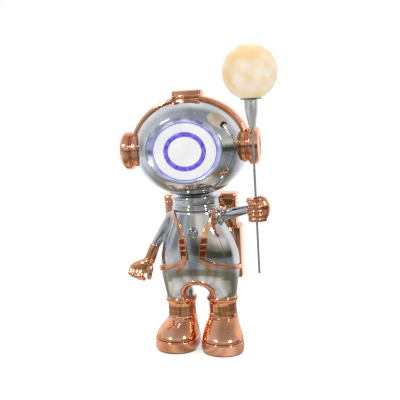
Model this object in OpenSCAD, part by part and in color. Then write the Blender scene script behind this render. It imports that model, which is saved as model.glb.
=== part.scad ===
// Figure floor lamp: a plated astronaut that holds a moon globe on a staff
// Millimetres, +Z up, floor at z = 0, the figure faces -Y.
// Left and right are the figure's own: its left hand holds the staff.

/* [Stance] */
// Sideways lean of everything above the boots, in degrees
lean = 3.4; // [0:0.1:5]
// Height of the point that the lean turns about
lean_z = 190; // [170:5:210]
// Distance of the figure's axis behind the origin
axis_y = 32; // [0:1:60]
// Height of the boot rims
rim_z = 207; // [195:1:225]
// Sideways distance of each ankle from the axis
ankle_x = 82; // [74:1:92]
// How far each toe turns out, in degrees
toe_out = 12; // [0:1:25]

/* [Boots] */
// Half width of the sole across the ball of the foot
sole_half_w = 84; // [76:1:90]
// Distance from the ankle to the tip of the toe
toe_reach = 132; // [110:1:150]
// Distance from the ankle to the back of the heel
heel_reach = 84; // [72:1:95]
// Height of the sole's top edge
sole_top = 46; // [36:1:56]
// Thickness of the rubber pad under each sole
pad_t = 3; // [2:0.5:5]
// Inset of the pad from the sole's edge
pad_inset = 7; // [4:1:12]
// Wall left round the ballast pocket in the sole
sole_wall = 24; // [16:1:30]
// Height of the ballast block
ballast_h = 26; // [15:1:28]
// Outer radius of the boot shaft
shaft_r = 56; // [52:0.5:60]
// Outer radius of the boot rim
rim_r = 62; // [58:0.5:68]
// Height of the crease between shaft and toe box
crease_z = 126; // [110:1:140]
// Radius of the leg spigot in the boot
spigot_r = 49; // [40:0.5:50]
// Depth of the leg spigot in the boot
spigot_h = 24; // [10:1:40]
// Shank radius of the bolt that ties each boot to its leg
bolt_r = 5; // [3:0.5:6]
// Bore radius of the cord inlet grommet
inlet_r = 3.5; // [2.5:0.25:5]

/* [Torso] */
// Half width of the belly
belly_half_w = 156; // [140:1:170]
// Half depth of the belly
belly_half_d = 120; // [105:1:130]
// Height of the belly's widest ring
belly_z = 335; // [320:1:350]
// Half width of the hips on the boots
hip_half_w = 134; // [130:1:142]
// Half depth of the hips on the boots
hip_half_d = 52; // [44:1:60]
// Half width of the shoulders under the collar
neck_half_w = 91; // [80:1:100]
// Half depth of the shoulders under the collar
neck_half_d = 86; // [76:1:95]
// Height of the flat top of the torso
neck_z = 553; // [540:1:570]
// Wall of the hollow casings
wall = 6; // [4:0.5:9]
// Radius of the arch between the legs
arch_r = 46; // [38:1:48]
// Height of the arch's centre
arch_z = 226; // [216:1:232]
// Width of the bead round the arch
bead_w = 18; // [12:1:22]
// Height of the bead off the surface
bead_h = 8; // [5:0.5:10]

/* [Harness] */
// Width of the webbing
web_w = 17; // [12:1:22]
// Thickness of the webbing
web_t = 3.5; // [2:0.5:5]
// Sideways place of each buckle
buckle_x = 43; // [36:1:50]
// Shift of a buckle's lower end towards the middle
buckle_in = 8; // [0:1:15]
// Width of each buckle
buckle_w = 30; // [26:1:34]
// Thickness of each buckle
buckle_t = 5; // [3:0.5:7]
// Height of the buckle's lower edge
buckle_low = 380; // [370:1:390]
// Height of the buckle's upper edge
buckle_top = 456; // [445:1:465]

/* [Switch] */
// Height of the chest switch
switch_z = 474; // [460:1:485]
// Outer radius of the switch bezel
switch_r = 19; // [16:0.5:22]
// Radius of the push button
button_r = 11; // [8:0.5:13]
// Travel of the push button
button_travel = 2.5; // [1:0.5:4]

/* [Head] */
// Half width of the helmet, ear to ear
helmet_half_w = 218; // [205:1:230]
// Half height and half depth of the helmet
helmet_half_h = 185; // [175:1:195]
// Height of the helmet's centre over the flat top of the torso
head_rise = 238; // [227:1:247]
// Distance of the helmet's centre in front of the axis
head_y = 35; // [20:1:50]
// Distance of the visor plane in front of the helmet's centre
visor_reach = 138; // [130:1:145]
// Width of the dished border at the sides of the lit disc
visor_border = 14.7; // [12:0.1:20]
// Height of the dished border above and below the lit disc
visor_border_h = 6.9; // [4:0.1:12]
// Drop of the visor disc below the helmet's centre
visor_drop = 6; // [0:0.5:8]
// Depth of the dished bezel round the visor
visor_dish = 12; // [8:0.5:18]
// Outer size of the coloured light ring, as a share of the lit disc
ring_share = 0.6666; // [0.6:0.0001:0.75]
// Width of the coloured light ring, as a share of the lit disc's half width
ring_w_share = 0.15; // [0.08:0.005:0.2]
// Outer radius of the ear cups
ear_r = 72; // [64:1:78]
// Height of the ears' outer faces off the helmet's widest point
ear_proud = 44; // [38:1:55]
// Height of the flange behind each ear cup off the helmet's widest point
ear_flange_h = 7; // [5:0.5:12]
// Radius of the flange behind each ear cup
ear_flange_r = 63; // [56:1:66]
// Distance of the band and the ears in front of the helmet's centre
band_y = 10; // [0:1:25]
// Width of the headband's base
band_w = 58; // [46:1:70]
// Width of the headband's raised rib
band_rib_w = 42; // [30:1:50]
// Height of the headband's base off the helmet
band_h = 8; // [5:0.5:12]
// Height of the rib off the base
band_rib_h = 6; // [3:0.5:9]
// Width of the block on top of the headband
block_w = 108; // [90:1:120]
// Depth of the block, front to back
block_d = 76; // [66:1:90]
// Height of the block off the helmet
block_h = 32; // [24:1:40]
// Radius of the neck collar
collar_r = 97; // [90:1:104]
// Height of the neck collar
collar_h = 53; // [45:1:60]

/* [Arms] */
// Radius of the arms at the shoulder
shoulder_r = 23; // [18:0.5:26]
// Radius of the arms at the wrist
wrist_r = 15; // [12:0.5:18]
// Radius of the glove cuff at the hand
cuff_r = 22; // [19:0.5:25]
// Radius of the fingers
finger_r = 8.75; // [7:0.25:10]

/* [Staff] */
// Sideways place of the staff
staff_x = 249; // [240:1:260]
// Distance of the staff in front of the axis
staff_y = 130; // [120:1:145]
// Radius of the staff
staff_r = 4; // [3:0.25:5]
// Bore radius of the staff for its wire
staff_bore_r = 2.6; // [1:0.1:2.9]
// Height of the staff's plain lower end
staff_low = 322; // [300:1:345]
// Height of the lower end of the globe's holder
holder_low = 859; // [845:1:875]
// Radius of the holder at its lower end
holder_low_r = 12; // [9:0.5:14]
// Radius of the holder under the globe
holder_r = 24.5; // [21:0.5:28]
// Height of the globe plate
plate_z = 961; // [950:1:970]
// Thickness of the globe plate
plate_t = 4.5; // [3:0.5:7]
// Radius of the globe plate
plate_r = 38; // [34:0.5:44]
// Outer radius of the moon globe
globe_r = 100; // [90:1:110]
// Wall of the moon globe
globe_wall = 3; // [2:0.5:4.5]
// Outer radius of the grip bush in the fist
bush_r = 9; // [7.5:0.5:10]
// Middle height of the fist
fist_z = 561; // [550:1:572]
// Height of the fist
fist_h = 92; // [84:1:98]

/* [Backpack] */
// Half width of the backpack's upper section
pack_half_w = 144; // [130:1:150]
// Half width of the backpack's lower section
pocket_half_w = 156; // [145:1:165]
// Back face of the upper section behind the axis
pack_back = 146; // [135:1:160]
// Back face of the lower section behind the axis
pocket_back = 166; // [155:1:180]
// Front face of the backpack behind the axis
pack_front = 58; // [50:1:70]
// Height of the backpack's lower edge
pack_low = 258; // [248:1:275]
// Height of the step between the two sections
pack_step = 470; // [450:1:485]
// Height of the backpack's top above the neck
pack_rise = 47; // [38:1:55]
// Height of the lid on the backpack
lid_h = 24; // [18:1:30]
// Rounding of the backpack's edges
pack_round = 14; // [10:1:18]

/* [Fits] */
// Gap between pieces that are fixed to each other
seat = 0.3; // [0.2:0.05:0.5]
// Radial gap of pieces that turn or slide in each other
running = 0.05; // [0.02:0.01:0.1]

/* [Hidden] */
head_z = neck_z + head_rise;
$fn = 64;
chrome = "silver";
copper = "#c98761";
cut = 1;
big = 900;
facets = 48;

// Rings of the torso from hips to neck: height, half width, half depth
torso_rings = [
    [rim_z + seat, hip_half_w, hip_half_d],
    [rim_z + 24, hip_half_w + 7, hip_half_d + 18],
    [rim_z + 54, belly_half_w - 9, belly_half_d - 26],
    [belly_z - 42, belly_half_w - 3, belly_half_d - 8],
    [belly_z, belly_half_w, belly_half_d],
    [belly_z + 50, belly_half_w - 4, belly_half_d - 2],
    [neck_z - 108, belly_half_w - 23, belly_half_d - 11],
    [neck_z - 56, neck_half_w + 18, neck_half_d + 12],
    [neck_z, neck_half_w, neck_half_d]
];
ring_last = len(torso_rings) - 1;
ring_steps = 4;

// A smooth curve through the rings, s counts rings
function clamp_ring(i) = torso_rings[max(0, min(ring_last, i))];
function blend_four(a, b, c, d, t) =
    0.5 * (2 * b + (c - a) * t + (2 * a - 5 * b + 4 * c - d) * t * t + (3 * b - a - 3 * c + d) * t * t * t);
function torso_at(s) =
    let (i = min(floor(s), ring_last - 1))
    blend_four(clamp_ring(i - 1), clamp_ring(i), clamp_ring(i + 1), clamp_ring(i + 2), s - i);
torso_curve = [for (k = [0 : ring_last * ring_steps]) torso_at(k / ring_steps)];
width_table = [for (p = torso_curve) [p[0], p[1]]];
depth_table = [for (p = torso_curve) [p[0], p[2]]];
function torso_w(z) = lookup(z, width_table);
function torso_d(z) = lookup(z, depth_table);

// A point on the torso: turn is 0 at the front and grows to the figure's left
function skin(turn, z, out) =
    let (w = torso_w(z), d = torso_d(z), n = [sin(turn) / w, -cos(turn) / d])
    concat([w * sin(turn), -d * cos(turn)] + out * n / norm(n), [z]);
function turn_of(x, z) = asin(x / torso_w(z));
function skin_xz(x, z, out) = skin(turn_of(x, z), z, out);

// Solids from rings of points
function ellipse_ring(cx, cy, z, rx, ry, n = facets) =
    [for (i = [0 : n - 1]) [cx + rx * cos(360 * i / n), cy + ry * sin(360 * i / n), z]];
function side_faces(rows, n, closed) =
    [for (r = [0 : rows - (closed ? 1 : 2)], i = [0 : n - 1], half = [0, 1])
        let (a = r * n, b = ((r + 1) % rows) * n, j = (i + 1) % n)
        half == 0 ? [a + i, b + i, b + j] : [a + i, b + j, a + j]];
module loft(rings) {
    rows = len(rings);
    n = len(rings[0]);
    caps = [[for (i = [0 : n - 1]) i], [for (i = [n - 1 : -1 : 0]) (rows - 1) * n + i]];
    polyhedron([for (r = rings, p = r) p], concat(side_faces(rows, n, false), caps));
}
module loop_loft(rings) {
    polyhedron([for (r = rings, p = r) p], side_faces(len(rings), len(rings[0]), true));
}

// Frames: boots stand square on the floor, the rest leans
module standing() {
    translate([0, axis_y, 0]) children();
}
module leaning() {
    standing() translate([0, 0, lean_z]) rotate([0, -lean, 0]) translate([0, 0, -lean_z]) children();
}
module at_boot(side) {
    standing() translate([side * ankle_x, 0, 0]) rotate([0, 0, side * toe_out]) children();
}
module at_head() {
    leaning() translate([0, -head_y, head_z]) children();
}
module at_staff(z = 0) {
    leaning() translate([staff_x, -staff_y, z]) children();
}
function unit(v) = v / norm(v);
// A round bar or cone from one point to another
module bar(from, to, r1, r2) {
    run = to - from;
    translate(from) rotate([0, acos(run[2] / norm(run)), atan2(run[1], run[0])])
        cylinder(h = norm(run), r1 = r1, r2 = r2);
}

// Boots
module sole_outline(inset) {
    ball_y = sole_half_w - toe_reach;
    heel_r = sole_half_w - 14;
    hull() {
        translate([0, ball_y]) circle(sole_half_w - inset);
        translate([0, heel_reach - heel_r]) circle(heel_r - inset);
    }
}
pocket_top = pad_t + ballast_h + 2;
head_h = 8;
module bolt_hole(side, gap) {
    at_boot(side) translate([0, 0, pocket_top]) cylinder(h = rim_z - 8 - pocket_top + gap, r = bolt_r + gap);
}
module boot_sole(side) {
    welt = 5;
    difference() {
        at_boot(side) difference() {
            union() {
                translate([0, 0, pad_t]) linear_extrude(sole_top - 8 - pad_t) sole_outline(1);
                translate([0, 0, sole_top - 8]) linear_extrude(welt) sole_outline(0);
                translate([0, 0, sole_top - 8 + welt]) linear_extrude(8 - welt) sole_outline(4);
            }
            translate([0, 0, pad_t - cut]) linear_extrude(pocket_top - pad_t + cut) sole_outline(sole_wall);
            if (side < 0) inlet_axis()
                translate([0, 0, -big / 10]) cylinder(h = big / 5, r = inlet_seat_r + seat / 2);
        }
        bolt_hole(side, seat);
    }
}
// Rings of the toe box: height, centre behind the ankle, half width, half depth
toe_mid = (heel_reach - toe_reach) / 2;
toe_half = (heel_reach + toe_reach) / 2;
toe_rings = [
    [sole_top, toe_mid, sole_half_w - 6, toe_half - 6],
    [sole_top + 14, toe_mid, sole_half_w - 5, toe_half - 5],
    [sole_top + 34, toe_mid + 2, sole_half_w - 10, toe_half - 14],
    [sole_top + 52, toe_mid + 8, sole_half_w - 17, toe_half - 27],
    [crease_z - 14, toe_mid + 15, shaft_r + 5, shaft_r + 22],
    [crease_z - 4, toe_mid + 21, shaft_r + 2, shaft_r + 7],
    [crease_z, 0, shaft_r - 2, shaft_r - 2],
    [crease_z + 8, 0, shaft_r - 2, shaft_r - 2]
];
module boot_upper(side) {
    bead = 8;
    difference() {
        union() {
            at_boot(side) loft([for (r = toe_rings) ellipse_ring(0, r[1], r[0], r[2], r[3])]);
            leaning() translate([side * ankle_x, 0, 0]) rotate_extrude() polygon(concat(
                [[0, crease_z + 2], [shaft_r, crease_z + 2], [shaft_r - 1, crease_z + 28], [shaft_r, rim_z - 2.2 * bead]],
                [for (a = [-60 : 20 : 90]) [rim_r - bead / 2 + bead / 2 * cos(a), rim_z - bead + bead * sin(a)]],
                [[0, rim_z]]));
        }
        leaning() translate([side * ankle_x, 0, rim_z - spigot_h - seat])
            cylinder(h = spigot_h + 2 * cut, r = spigot_r + seat);
        bolt_hole(side, seat);
    }
}
module sole_pad(side) {
    at_boot(side) linear_extrude(pad_t) sole_outline(pad_inset);
}
module ballast(side) {
    difference() {
        at_boot(side) translate([0, 0, pad_t]) linear_extrude(ballast_h) sole_outline(sole_wall + seat);
        at_boot(side) translate([0, 0, pocket_top - head_h - seat]) cylinder(h = head_h + cut, r = 2 * bolt_r);
    }
}
module boot_bolts() {
    for (side = [-1, 1]) {
        bolt_hole(side, 0);
        at_boot(side) translate([0, 0, pocket_top - head_h]) cylinder(h = head_h, r = 1.8 * bolt_r);
    }
}
// The cord inlet is in the heel of the figure's right boot
inlet_seat_r = inlet_r + 4;
inlet_z = pad_t + 14;
module inlet_axis() {
    translate([0, heel_reach - 1, inlet_z]) rotate([-90, 0, 0]) children();
}
module cord_grommet() {
    depth = sole_wall - 3;
    at_boot(-1) inlet_axis() rotate_extrude() polygon([
        [inlet_r, -depth], [inlet_seat_r, -depth], [inlet_seat_r, 0.2], [inlet_seat_r + 4, 0.2],
        [inlet_seat_r + 3, 3], [inlet_r + 1.5, 4], [inlet_r, 4]]);
}

// Torso
module torso_form(grow) {
    loft([for (p = torso_curve) ellipse_ring(0, 0, p[0], p[1] + grow, p[2] + grow)]);
}
module torso_hollow() {
    floor_z = arch_z + arch_r + wall + 6;
    steps = 6;
    loft([for (k = [0 : steps])
        let (z = floor_z + (neck_z - wall - floor_z) * k / steps)
        ellipse_ring(0, 0, z, torso_w(z) - wall - 2, torso_d(z) - wall - 2, facets / 2)]);
}
neck_tube_r = 58;
switch_face = max([for (k = [-1 : 0.25 : 1]) torso_d(switch_z + k * switch_r)]) + seat;
module at_switch() {
    leaning() translate([0, -switch_face, switch_z]) rotate([-90, 0, 0]) children();
}
switch_body_r = button_r + 2;
switch_body_h = 22;
leg_h = 40;
leg_top_r = spigot_r - 11;
module torso_shell() {
    difference() {
        union() {
            difference() {
                union() {
                    leaning() difference() {
                        torso_form(0);
                        torso_hollow();
                    }
                    at_switch() cylinder(h = switch_body_h + 14, r = switch_r + 3);
                }
                leaning() arch_tunnel();
            }
            for (side = [-1, 1]) leaning() translate([side * ankle_x, 0, rim_z + seat]) {
                translate([0, 0, -spigot_h - seat]) cylinder(h = spigot_h + seat + cut, r = spigot_r);
                cylinder(h = leg_h, r1 = spigot_r, r2 = leg_top_r);
            }
        }
        leaning() translate([0, 0, neck_z - 3 * wall]) cylinder(h = 4 * wall, r = neck_tube_r + seat);
        at_switch() translate([0, 0, -cut]) cylinder(h = switch_body_h + cut, r = switch_body_r + seat / 2);
        for (side = [-1, 1]) bolt_hole(side, seat);
    }
}
module arch_tunnel() {
    translate([0, belly_half_d + cut, arch_z]) rotate([90, 0, 0])
        cylinder(h = 2 * belly_half_d + 2 * cut, r = arch_r);
    translate([-arch_r, -belly_half_d, rim_z]) cube([2 * arch_r, 2 * belly_half_d, arch_z - rim_z]);
}
// A half round bead along the front edge of the arch
bead_r = arch_r + bead_w / 2 + 1;
bead_path = concat([[bead_r, rim_z + 1]],
    [for (a = [0 : 10 : 180]) [bead_r * cos(a), arch_z + bead_r * sin(a)]],
    [[-bead_r, rim_z + 1]]);
function bead_side(i) =
    let (t = bead_path[min(i + 1, len(bead_path) - 1)] - bead_path[max(i - 1, 0)])
    [t[1], -t[0]] / norm(t);
function bead_ring(i) = [for (k = [0 : 6])
    let (a = 180 * k / 6, q = bead_path[i] - bead_side(i) * bead_w / 2 * cos(a))
    skin_xz(q[0], q[1], 2 * seat + bead_h * sin(a))];
module arch_trim() {
    leaning() loft([for (i = [0 : len(bead_path) - 1]) bead_ring(i)]);
}

// Harness: webbing laid on the torso along points given as turn and height
function path_normal(path, i) =
    let (a = path[max(i - 1, 0)], b = path[min(i + 1, len(path) - 1)], m = torso_w(path[i][1]) * PI / 180,
         t = [(b[0] - a[0]) * m, b[1] - a[1]])
    [t[1] / m, -t[0]] / norm(t);
function web_ring(path, i, w, t, lift) =
    let (p = path[i], n = path_normal(path, i) * w / 2, a = p + n, b = p - n)
    [skin(a[0], a[1], lift), skin(b[0], b[1], lift), skin(b[0], b[1], lift + t), skin(a[0], a[1], lift + t)];
module web(path, w = web_w, t = web_t, lift = 2 * seat) {
    loft([for (i = [0 : len(path) - 1]) web_ring(path, i, w, t, lift)]);
}
function run(from, to, n) = [for (k = [0 : n]) from + (to - from) * k / n];
function on_front(x, z) = [turn_of(x, z), z];
strap_top_x = neck_half_w - web_w / 2;
strap_top_z = neck_z - web_w / 2;
module shoulder_strap(side) {
    top = on_front(side * strap_top_x, strap_top_z);
    low = on_front(side * buckle_x, buckle_top);
    foot = on_front(side * (buckle_x - buckle_in), buckle_low - 6);
    leaning() web(concat(run(top, low, 8), run(low, foot, 6)));
}
// The waist straps end at the backpack, at this turn from the front
waist_turn = 112;
module waist_strap(side) {
    start = on_front(side * (buckle_x - buckle_in - web_w / 2), buckle_low - web_w);
    mid = on_front(side * belly_half_w * 2 / 3, buckle_low - 2.6 * web_w);
    back = [side * waist_turn, buckle_low - 3.6 * web_w];
    tail = on_front(side * (buckle_x + 1.6 * web_w), buckle_low - 3.4 * web_w);
    leaning() union() {
        web(concat(run(start, mid, 8), run(mid, back, 16)));
        web(run(start, tail, 6), lift = 2 * seat + web_t / 2);
    }
}
module buckle(side) {
    lift = 2 * seat + web_t + 0.2;
    rail = 4.5;
    bar_h = 5;
    reach = buckle_top - buckle_low - bar_h;
    leaning() union() {
        for (edge = [-1, 1]) {
            shift = edge * (buckle_w - rail) / 2;
            foot = on_front(side * (buckle_x - buckle_in) + shift, buckle_low);
            head = on_front(side * buckle_x + shift, buckle_top);
            web(run(foot, head, 6), rail, buckle_t - 1, lift);
        }
        for (k = [0, 0.42, 0.66, 1]) {
            z = buckle_low + bar_h / 2 + k * reach;
            mid_x = side * (buckle_x - buckle_in * (1 - k));
            half = buckle_w / 2;
            web(run(on_front(mid_x - half, z), on_front(mid_x + half, z), 3), bar_h, buckle_t, lift);
        }
    }
}

// Chest switch
bezel_h = 5;
module switch_bezel() {
    at_switch() rotate_extrude() polygon([
        [button_r + running, 0], [switch_r, 0], [switch_r, -bezel_h / 2], [switch_r - 2, -bezel_h],
        [button_r + 4, -bezel_h], [button_r + running, -bezel_h / 2]]);
}
module switch_button() {
    at_switch() rotate_extrude() polygon(concat(
        [[0, -running], [button_r, -running], [button_r, -bezel_h - 1], [button_r - 1.5, -bezel_h - 2.5]],
        [[0.55 * button_r, -bezel_h - 1.5], [0, -bezel_h - 1]]));
}
module switch_body() {
    at_switch() rotate_extrude() polygon([
        [0, button_travel + 0.5], [button_r - 3, button_travel + 0.5], [button_r - 3, button_travel + 3],
        [switch_body_r, button_travel + 3], [switch_body_r, switch_body_h], [0, switch_body_h]]);
}

// Head
module helmet_form(grow) {
    step = 4;
    rotate([0, 90, 0]) rotate_extrude($fn = 96) polygon([for (a = [-90 : step : 90])
        [(helmet_half_h + grow) * cos(a), (helmet_half_w + grow) * sin(a)]]);
}
module helmet_shell() {
    at_head() difference() {
        helmet_form(0);
        helmet_form(-wall);
        translate([-big / 2, -visor_reach - big, -big / 2]) cube([big, big, big]);
        translate([0, head_y, -big]) cylinder(h = big, r = neck_tube_r - 12);
    }
}
// The visor's parts lie along an axis into the helmet, from the visor plane
module at_visor(depth, drop = visor_drop) {
    at_head() translate([0, -visor_reach + depth, -drop]) rotate([-90, 0, 0]) children();
}
opening_share = sqrt(1 - pow(visor_reach / (helmet_half_h - wall), 2));
opening_half_w = (helmet_half_w - wall) * opening_share - seat;
opening_half_h = (helmet_half_h - wall) * opening_share - seat;
flange_t = 3;
pan_w = 5;
diffuser_t = 4;
pan_depth = 13;
visor_half_w = opening_half_w - visor_border;
visor_half_h = opening_half_h - visor_border_h;
visor_ratio = visor_half_h / visor_half_w;
ring_half_w = ring_share * visor_half_w;
ring_w = ring_w_share * visor_half_w;
module oval(half_w, h, ratio = visor_ratio) {
    scale([1, ratio, 1]) cylinder(h = h, r = half_w);
}
// The bezel's closed section: depth, half width, half height, share of the drop
bezel_rings = [
    [0, opening_half_w, opening_half_h, 0],
    [visor_dish, visor_half_w, visor_half_h, 1],
    [visor_dish + flange_t, visor_half_w, visor_half_h, 1],
    [visor_dish + flange_t, visor_half_w + pan_w + 6, visor_half_h + pan_w + 4, 1]
];
module visor_bezel() {
    n = 1.5 * facets;
    rows = [for (r = bezel_rings) [for (i = [0 : n - 1])
        [r[1] * cos(360 * i / n), -visor_reach + r[0], r[2] * sin(360 * i / n) - visor_drop * r[3]]]];
    at_head() loop_loft(rows);
}
stack = visor_dish + flange_t;
module visor_diffuser() {
    difference() {
        at_visor(stack) oval(visor_half_w + pan_w - 2, diffuser_t);
        at_visor(stack - cut) oval(ring_half_w + seat / 2, diffuser_t + 2 * cut);
    }
}
module visor_light_ring() {
    difference() {
        at_visor(stack - 2) oval(ring_half_w, diffuser_t + 4);
        at_visor(stack - 2 - cut) oval(ring_half_w - ring_w, diffuser_t + 4 + 2 * cut);
    }
}
module visor_center() {
    at_visor(stack) oval(ring_half_w - ring_w - seat / 2, diffuser_t + 2);
}
module visor_board() {
    at_visor(stack + diffuser_t + 2) oval(visor_half_w - 4, 1.6);
}
module visor_pan() {
    difference() {
        at_visor(stack) oval(visor_half_w + pan_w, pan_depth);
        at_visor(stack - cut) oval(visor_half_w + pan_w - 2 + seat / 2, diffuser_t + cut);
        at_visor(stack + diffuser_t - cut) oval(visor_half_w - 3, 3.6 + cut);
    }
}
module headband() {
    at_head() difference() {
        union() {
            band_layer(band_h, band_w);
            band_layer(band_h + band_rib_h, band_rib_w);
        }
        helmet_form(seat);
        at_ear(1) translate([0, 0, -big / 2]) cylinder(h = big, r = ear_flange_r + seat);
    }
}
module band_layer(grow, w) {
    intersection() {
        helmet_form(grow);
        translate([-big / 2, -band_y - w / 2, 0]) cube([big, w, big]);
    }
}
slot_w = block_w * 0.89;
slot_d = block_d * 0.08;
slot_h = block_h / 3;
module headband_block() {
    half = block_d / 2;
    top = helmet_half_h + block_h;
    root = helmet_half_h - 1.25 * block_h;
    slot_z = helmet_half_h - 0.16 * block_h;
    brow = 0.62 * block_h;
    ease = block_h / 8;
    slope = 0.16 * block_d;
    at_head() difference() {
        translate([block_w / 2, -band_y, 0]) rotate([90, 0, -90]) linear_extrude(block_w) polygon([
            [-half, root], [half, root], [half, top - brow], [half - slope, top - ease],
            [half - 1.7 * slope, top], [1.7 * slope - half, top], [slope - half, top - ease], [-half, top - brow]]);
        helmet_form(seat);
        band_layer(band_h + band_rib_h + seat, band_w + 2 * seat);
        translate([-slot_w / 2, -band_y - half - cut, slot_z]) cube([slot_w, slot_d + cut, slot_h]);
    }
}
module at_ear(side) {
    translate([0, -band_y, 0]) rotate([0, side * 90, 0]) children();
}
module ear_flange(side) {
    inner = helmet_half_w * 0.9;
    step = helmet_half_w + ear_flange_h;
    at_head() difference() {
        at_ear(side) rotate_extrude() polygon([
            [0, inner], [ear_flange_r, inner], [ear_flange_r, step - 10], [ear_flange_r - 5, step - 8],
            [ear_flange_r - 5, step - 5], [ear_flange_r, step - 3], [ear_flange_r, step], [0, step]]);
        helmet_form(seat);
        helmet_form(-wall);
    }
}
module ear_cup(side) {
    ear_reach = helmet_half_w + ear_proud;
    step = helmet_half_w + ear_flange_h + seat / 2;
    at_head() at_ear(side) rotate_extrude() polygon([
        [0, step], [ear_r - 4, step], [ear_r, step + 4], [ear_r, ear_reach - 13], [ear_r - 4, ear_reach - 8],
        [ear_r - 12, ear_reach], [ear_r - 30, ear_reach], [ear_r - 33, ear_reach - 3], [0, ear_reach - 3]]);
}
// The collar is ringed, with a plain band between; a tube inside carries the helmet
module neck_collar() {
    tube_top = neck_z + collar_h + 44;
    leaning() difference() {
        rotate_extrude() polygon([
            [neck_tube_r - 8, neck_z - 10], [neck_tube_r, neck_z - 10], [neck_tube_r, neck_z + seat],
            [collar_r - 7, neck_z + seat], [collar_r - 2, neck_z + 3], [collar_r, neck_z + 7],
            [collar_r - 3, neck_z + 10], [collar_r - 3, neck_z + 13], [collar_r, neck_z + 16],
            [collar_r - 5, neck_z + 20], [collar_r - 5, neck_z + collar_h - 11], [collar_r, neck_z + collar_h - 8],
            [collar_r, neck_z + collar_h - 3], [collar_r - 4, neck_z + collar_h],
            [neck_tube_r + 14, neck_z + collar_h + 2], [neck_tube_r + 10, tube_top], [neck_tube_r - 8, tube_top]]);
        translate([0, -head_y, head_z]) helmet_form(seat);
    }
}

// Arms and hands
right_shoulder = [-103, -8, 520];
right_cuff = [-168, -30, 419];
right_wrist = [-189, -39, 366];
left_shoulder = [102, -24, 526];
left_wrist = [224, -114, 561];
module arm_bar(shoulder, wrist, r_end, gap) {
    bar(shoulder, wrist + unit(wrist - shoulder) * gap, shoulder_r - 1 + gap, r_end + gap);
}
module arm(shoulder, wrist, r_end) {
    leaning() difference() {
        union() {
            translate(shoulder) sphere(shoulder_r);
            arm_bar(shoulder, wrist, r_end, 0);
        }
        torso_form(seat);
    }
}
module arm_right() {
    arm(right_shoulder, right_cuff, wrist_r + 2);
}
module arm_left() {
    arm(left_shoulder, left_wrist, wrist_r);
}
cuff_run = right_wrist - right_cuff;
cuff_dir = cuff_run / norm(cuff_run);
band_len = 13;
module cuff_right() {
    leaning() difference() {
        bar(right_cuff + cuff_dir * seat / 2, right_wrist, wrist_r + 4, cuff_r - 1);
        arm_bar(right_shoulder, right_cuff, wrist_r + 2, seat / 2);
    }
}
module wrist_band_right() {
    from = right_wrist + cuff_dir * seat / 2;
    leaning() union() {
        bar(from, from + cuff_dir * band_len, cuff_r - 2, cuff_r - 2);
        for (k = [1, band_len - 5]) bar(from + cuff_dir * k, from + cuff_dir * (k + 4), cuff_r, cuff_r);
    }
}
// A round limb along a path of points, with rounded ends
function path_dir(path, i) = unit(path[min(i + 1, len(path) - 1)] - path[max(i - 1, 0)]);
function limb_ring(c, dir, r, n, across) =
    let (u = unit(cross(across, dir)), v = cross(dir, u))
    [for (k = [0 : n - 1]) c + r * (cos(360 * k / n) * u + sin(360 * k / n) * v)];
module limb(path, r, across = [0, 0, 1], n = 20) {
    last = len(path) - 1;
    first_dir = path_dir(path, 0);
    last_dir = path_dir(path, last);
    loft(concat(
        [for (a = [75, 40]) limb_ring(path[0] - first_dir * r * sin(a), first_dir, r * cos(a), n, across)],
        [for (i = [0 : last]) limb_ring(path[i], path_dir(path, i), r, n, across)],
        [for (a = [40, 75]) limb_ring(path[last] + last_dir * r * sin(a), last_dir, r * cos(a), n, across)]));
}
// The open hand from the index to the small finger: knuckles, bends and tips, then the thumb
glove_root = right_wrist + cuff_dir * (band_len + seat);
knuckles = [[-222, -54, 322], [-236, -56, 324], [-250, -54, 328], [-261, -49, 332]];
bends = [[-225, -58, 301], [-240, -60, 303], [-256, -58, 307], [-267, -52, 313]];
tips = [[-214, -44, 285], [-233, -42, 288], [-249, -41, 295], [-261, -38, 302]];
thumb_joints = [[-194, -46, 346], [-187, -54, 326], [-193, -60, 303], [-195, -58, 293]];
knuckle_sink = [0, 5, 0];
palm_r = 12;
module glove_right() {
    leaning() difference() {
        union() {
            hull() {
                bar(glove_root, glove_root + cuff_dir * 2, cuff_r - 4, cuff_r - 4, $fn = 32);
                for (k = [0, 3]) translate(knuckles[k] + knuckle_sink) sphere(palm_r, $fn = 24);
            }
            for (k = [0 : 3]) limb([knuckles[k], bends[k], tips[k]], finger_r + 0.6, [1, 0, 0]);
            limb(thumb_joints, finger_r + 1.5, [1, 0, 0]);
        }
        bar(glove_root - cuff_dir * 2 * cuff_r, glove_root, 2 * cuff_r, 2 * cuff_r);
    }
}
// The fist: fingers curl round the staff, the thumb closes over them
finger_bend = 25;
finger_pitch = 2 * finger_r - 2;
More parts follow.
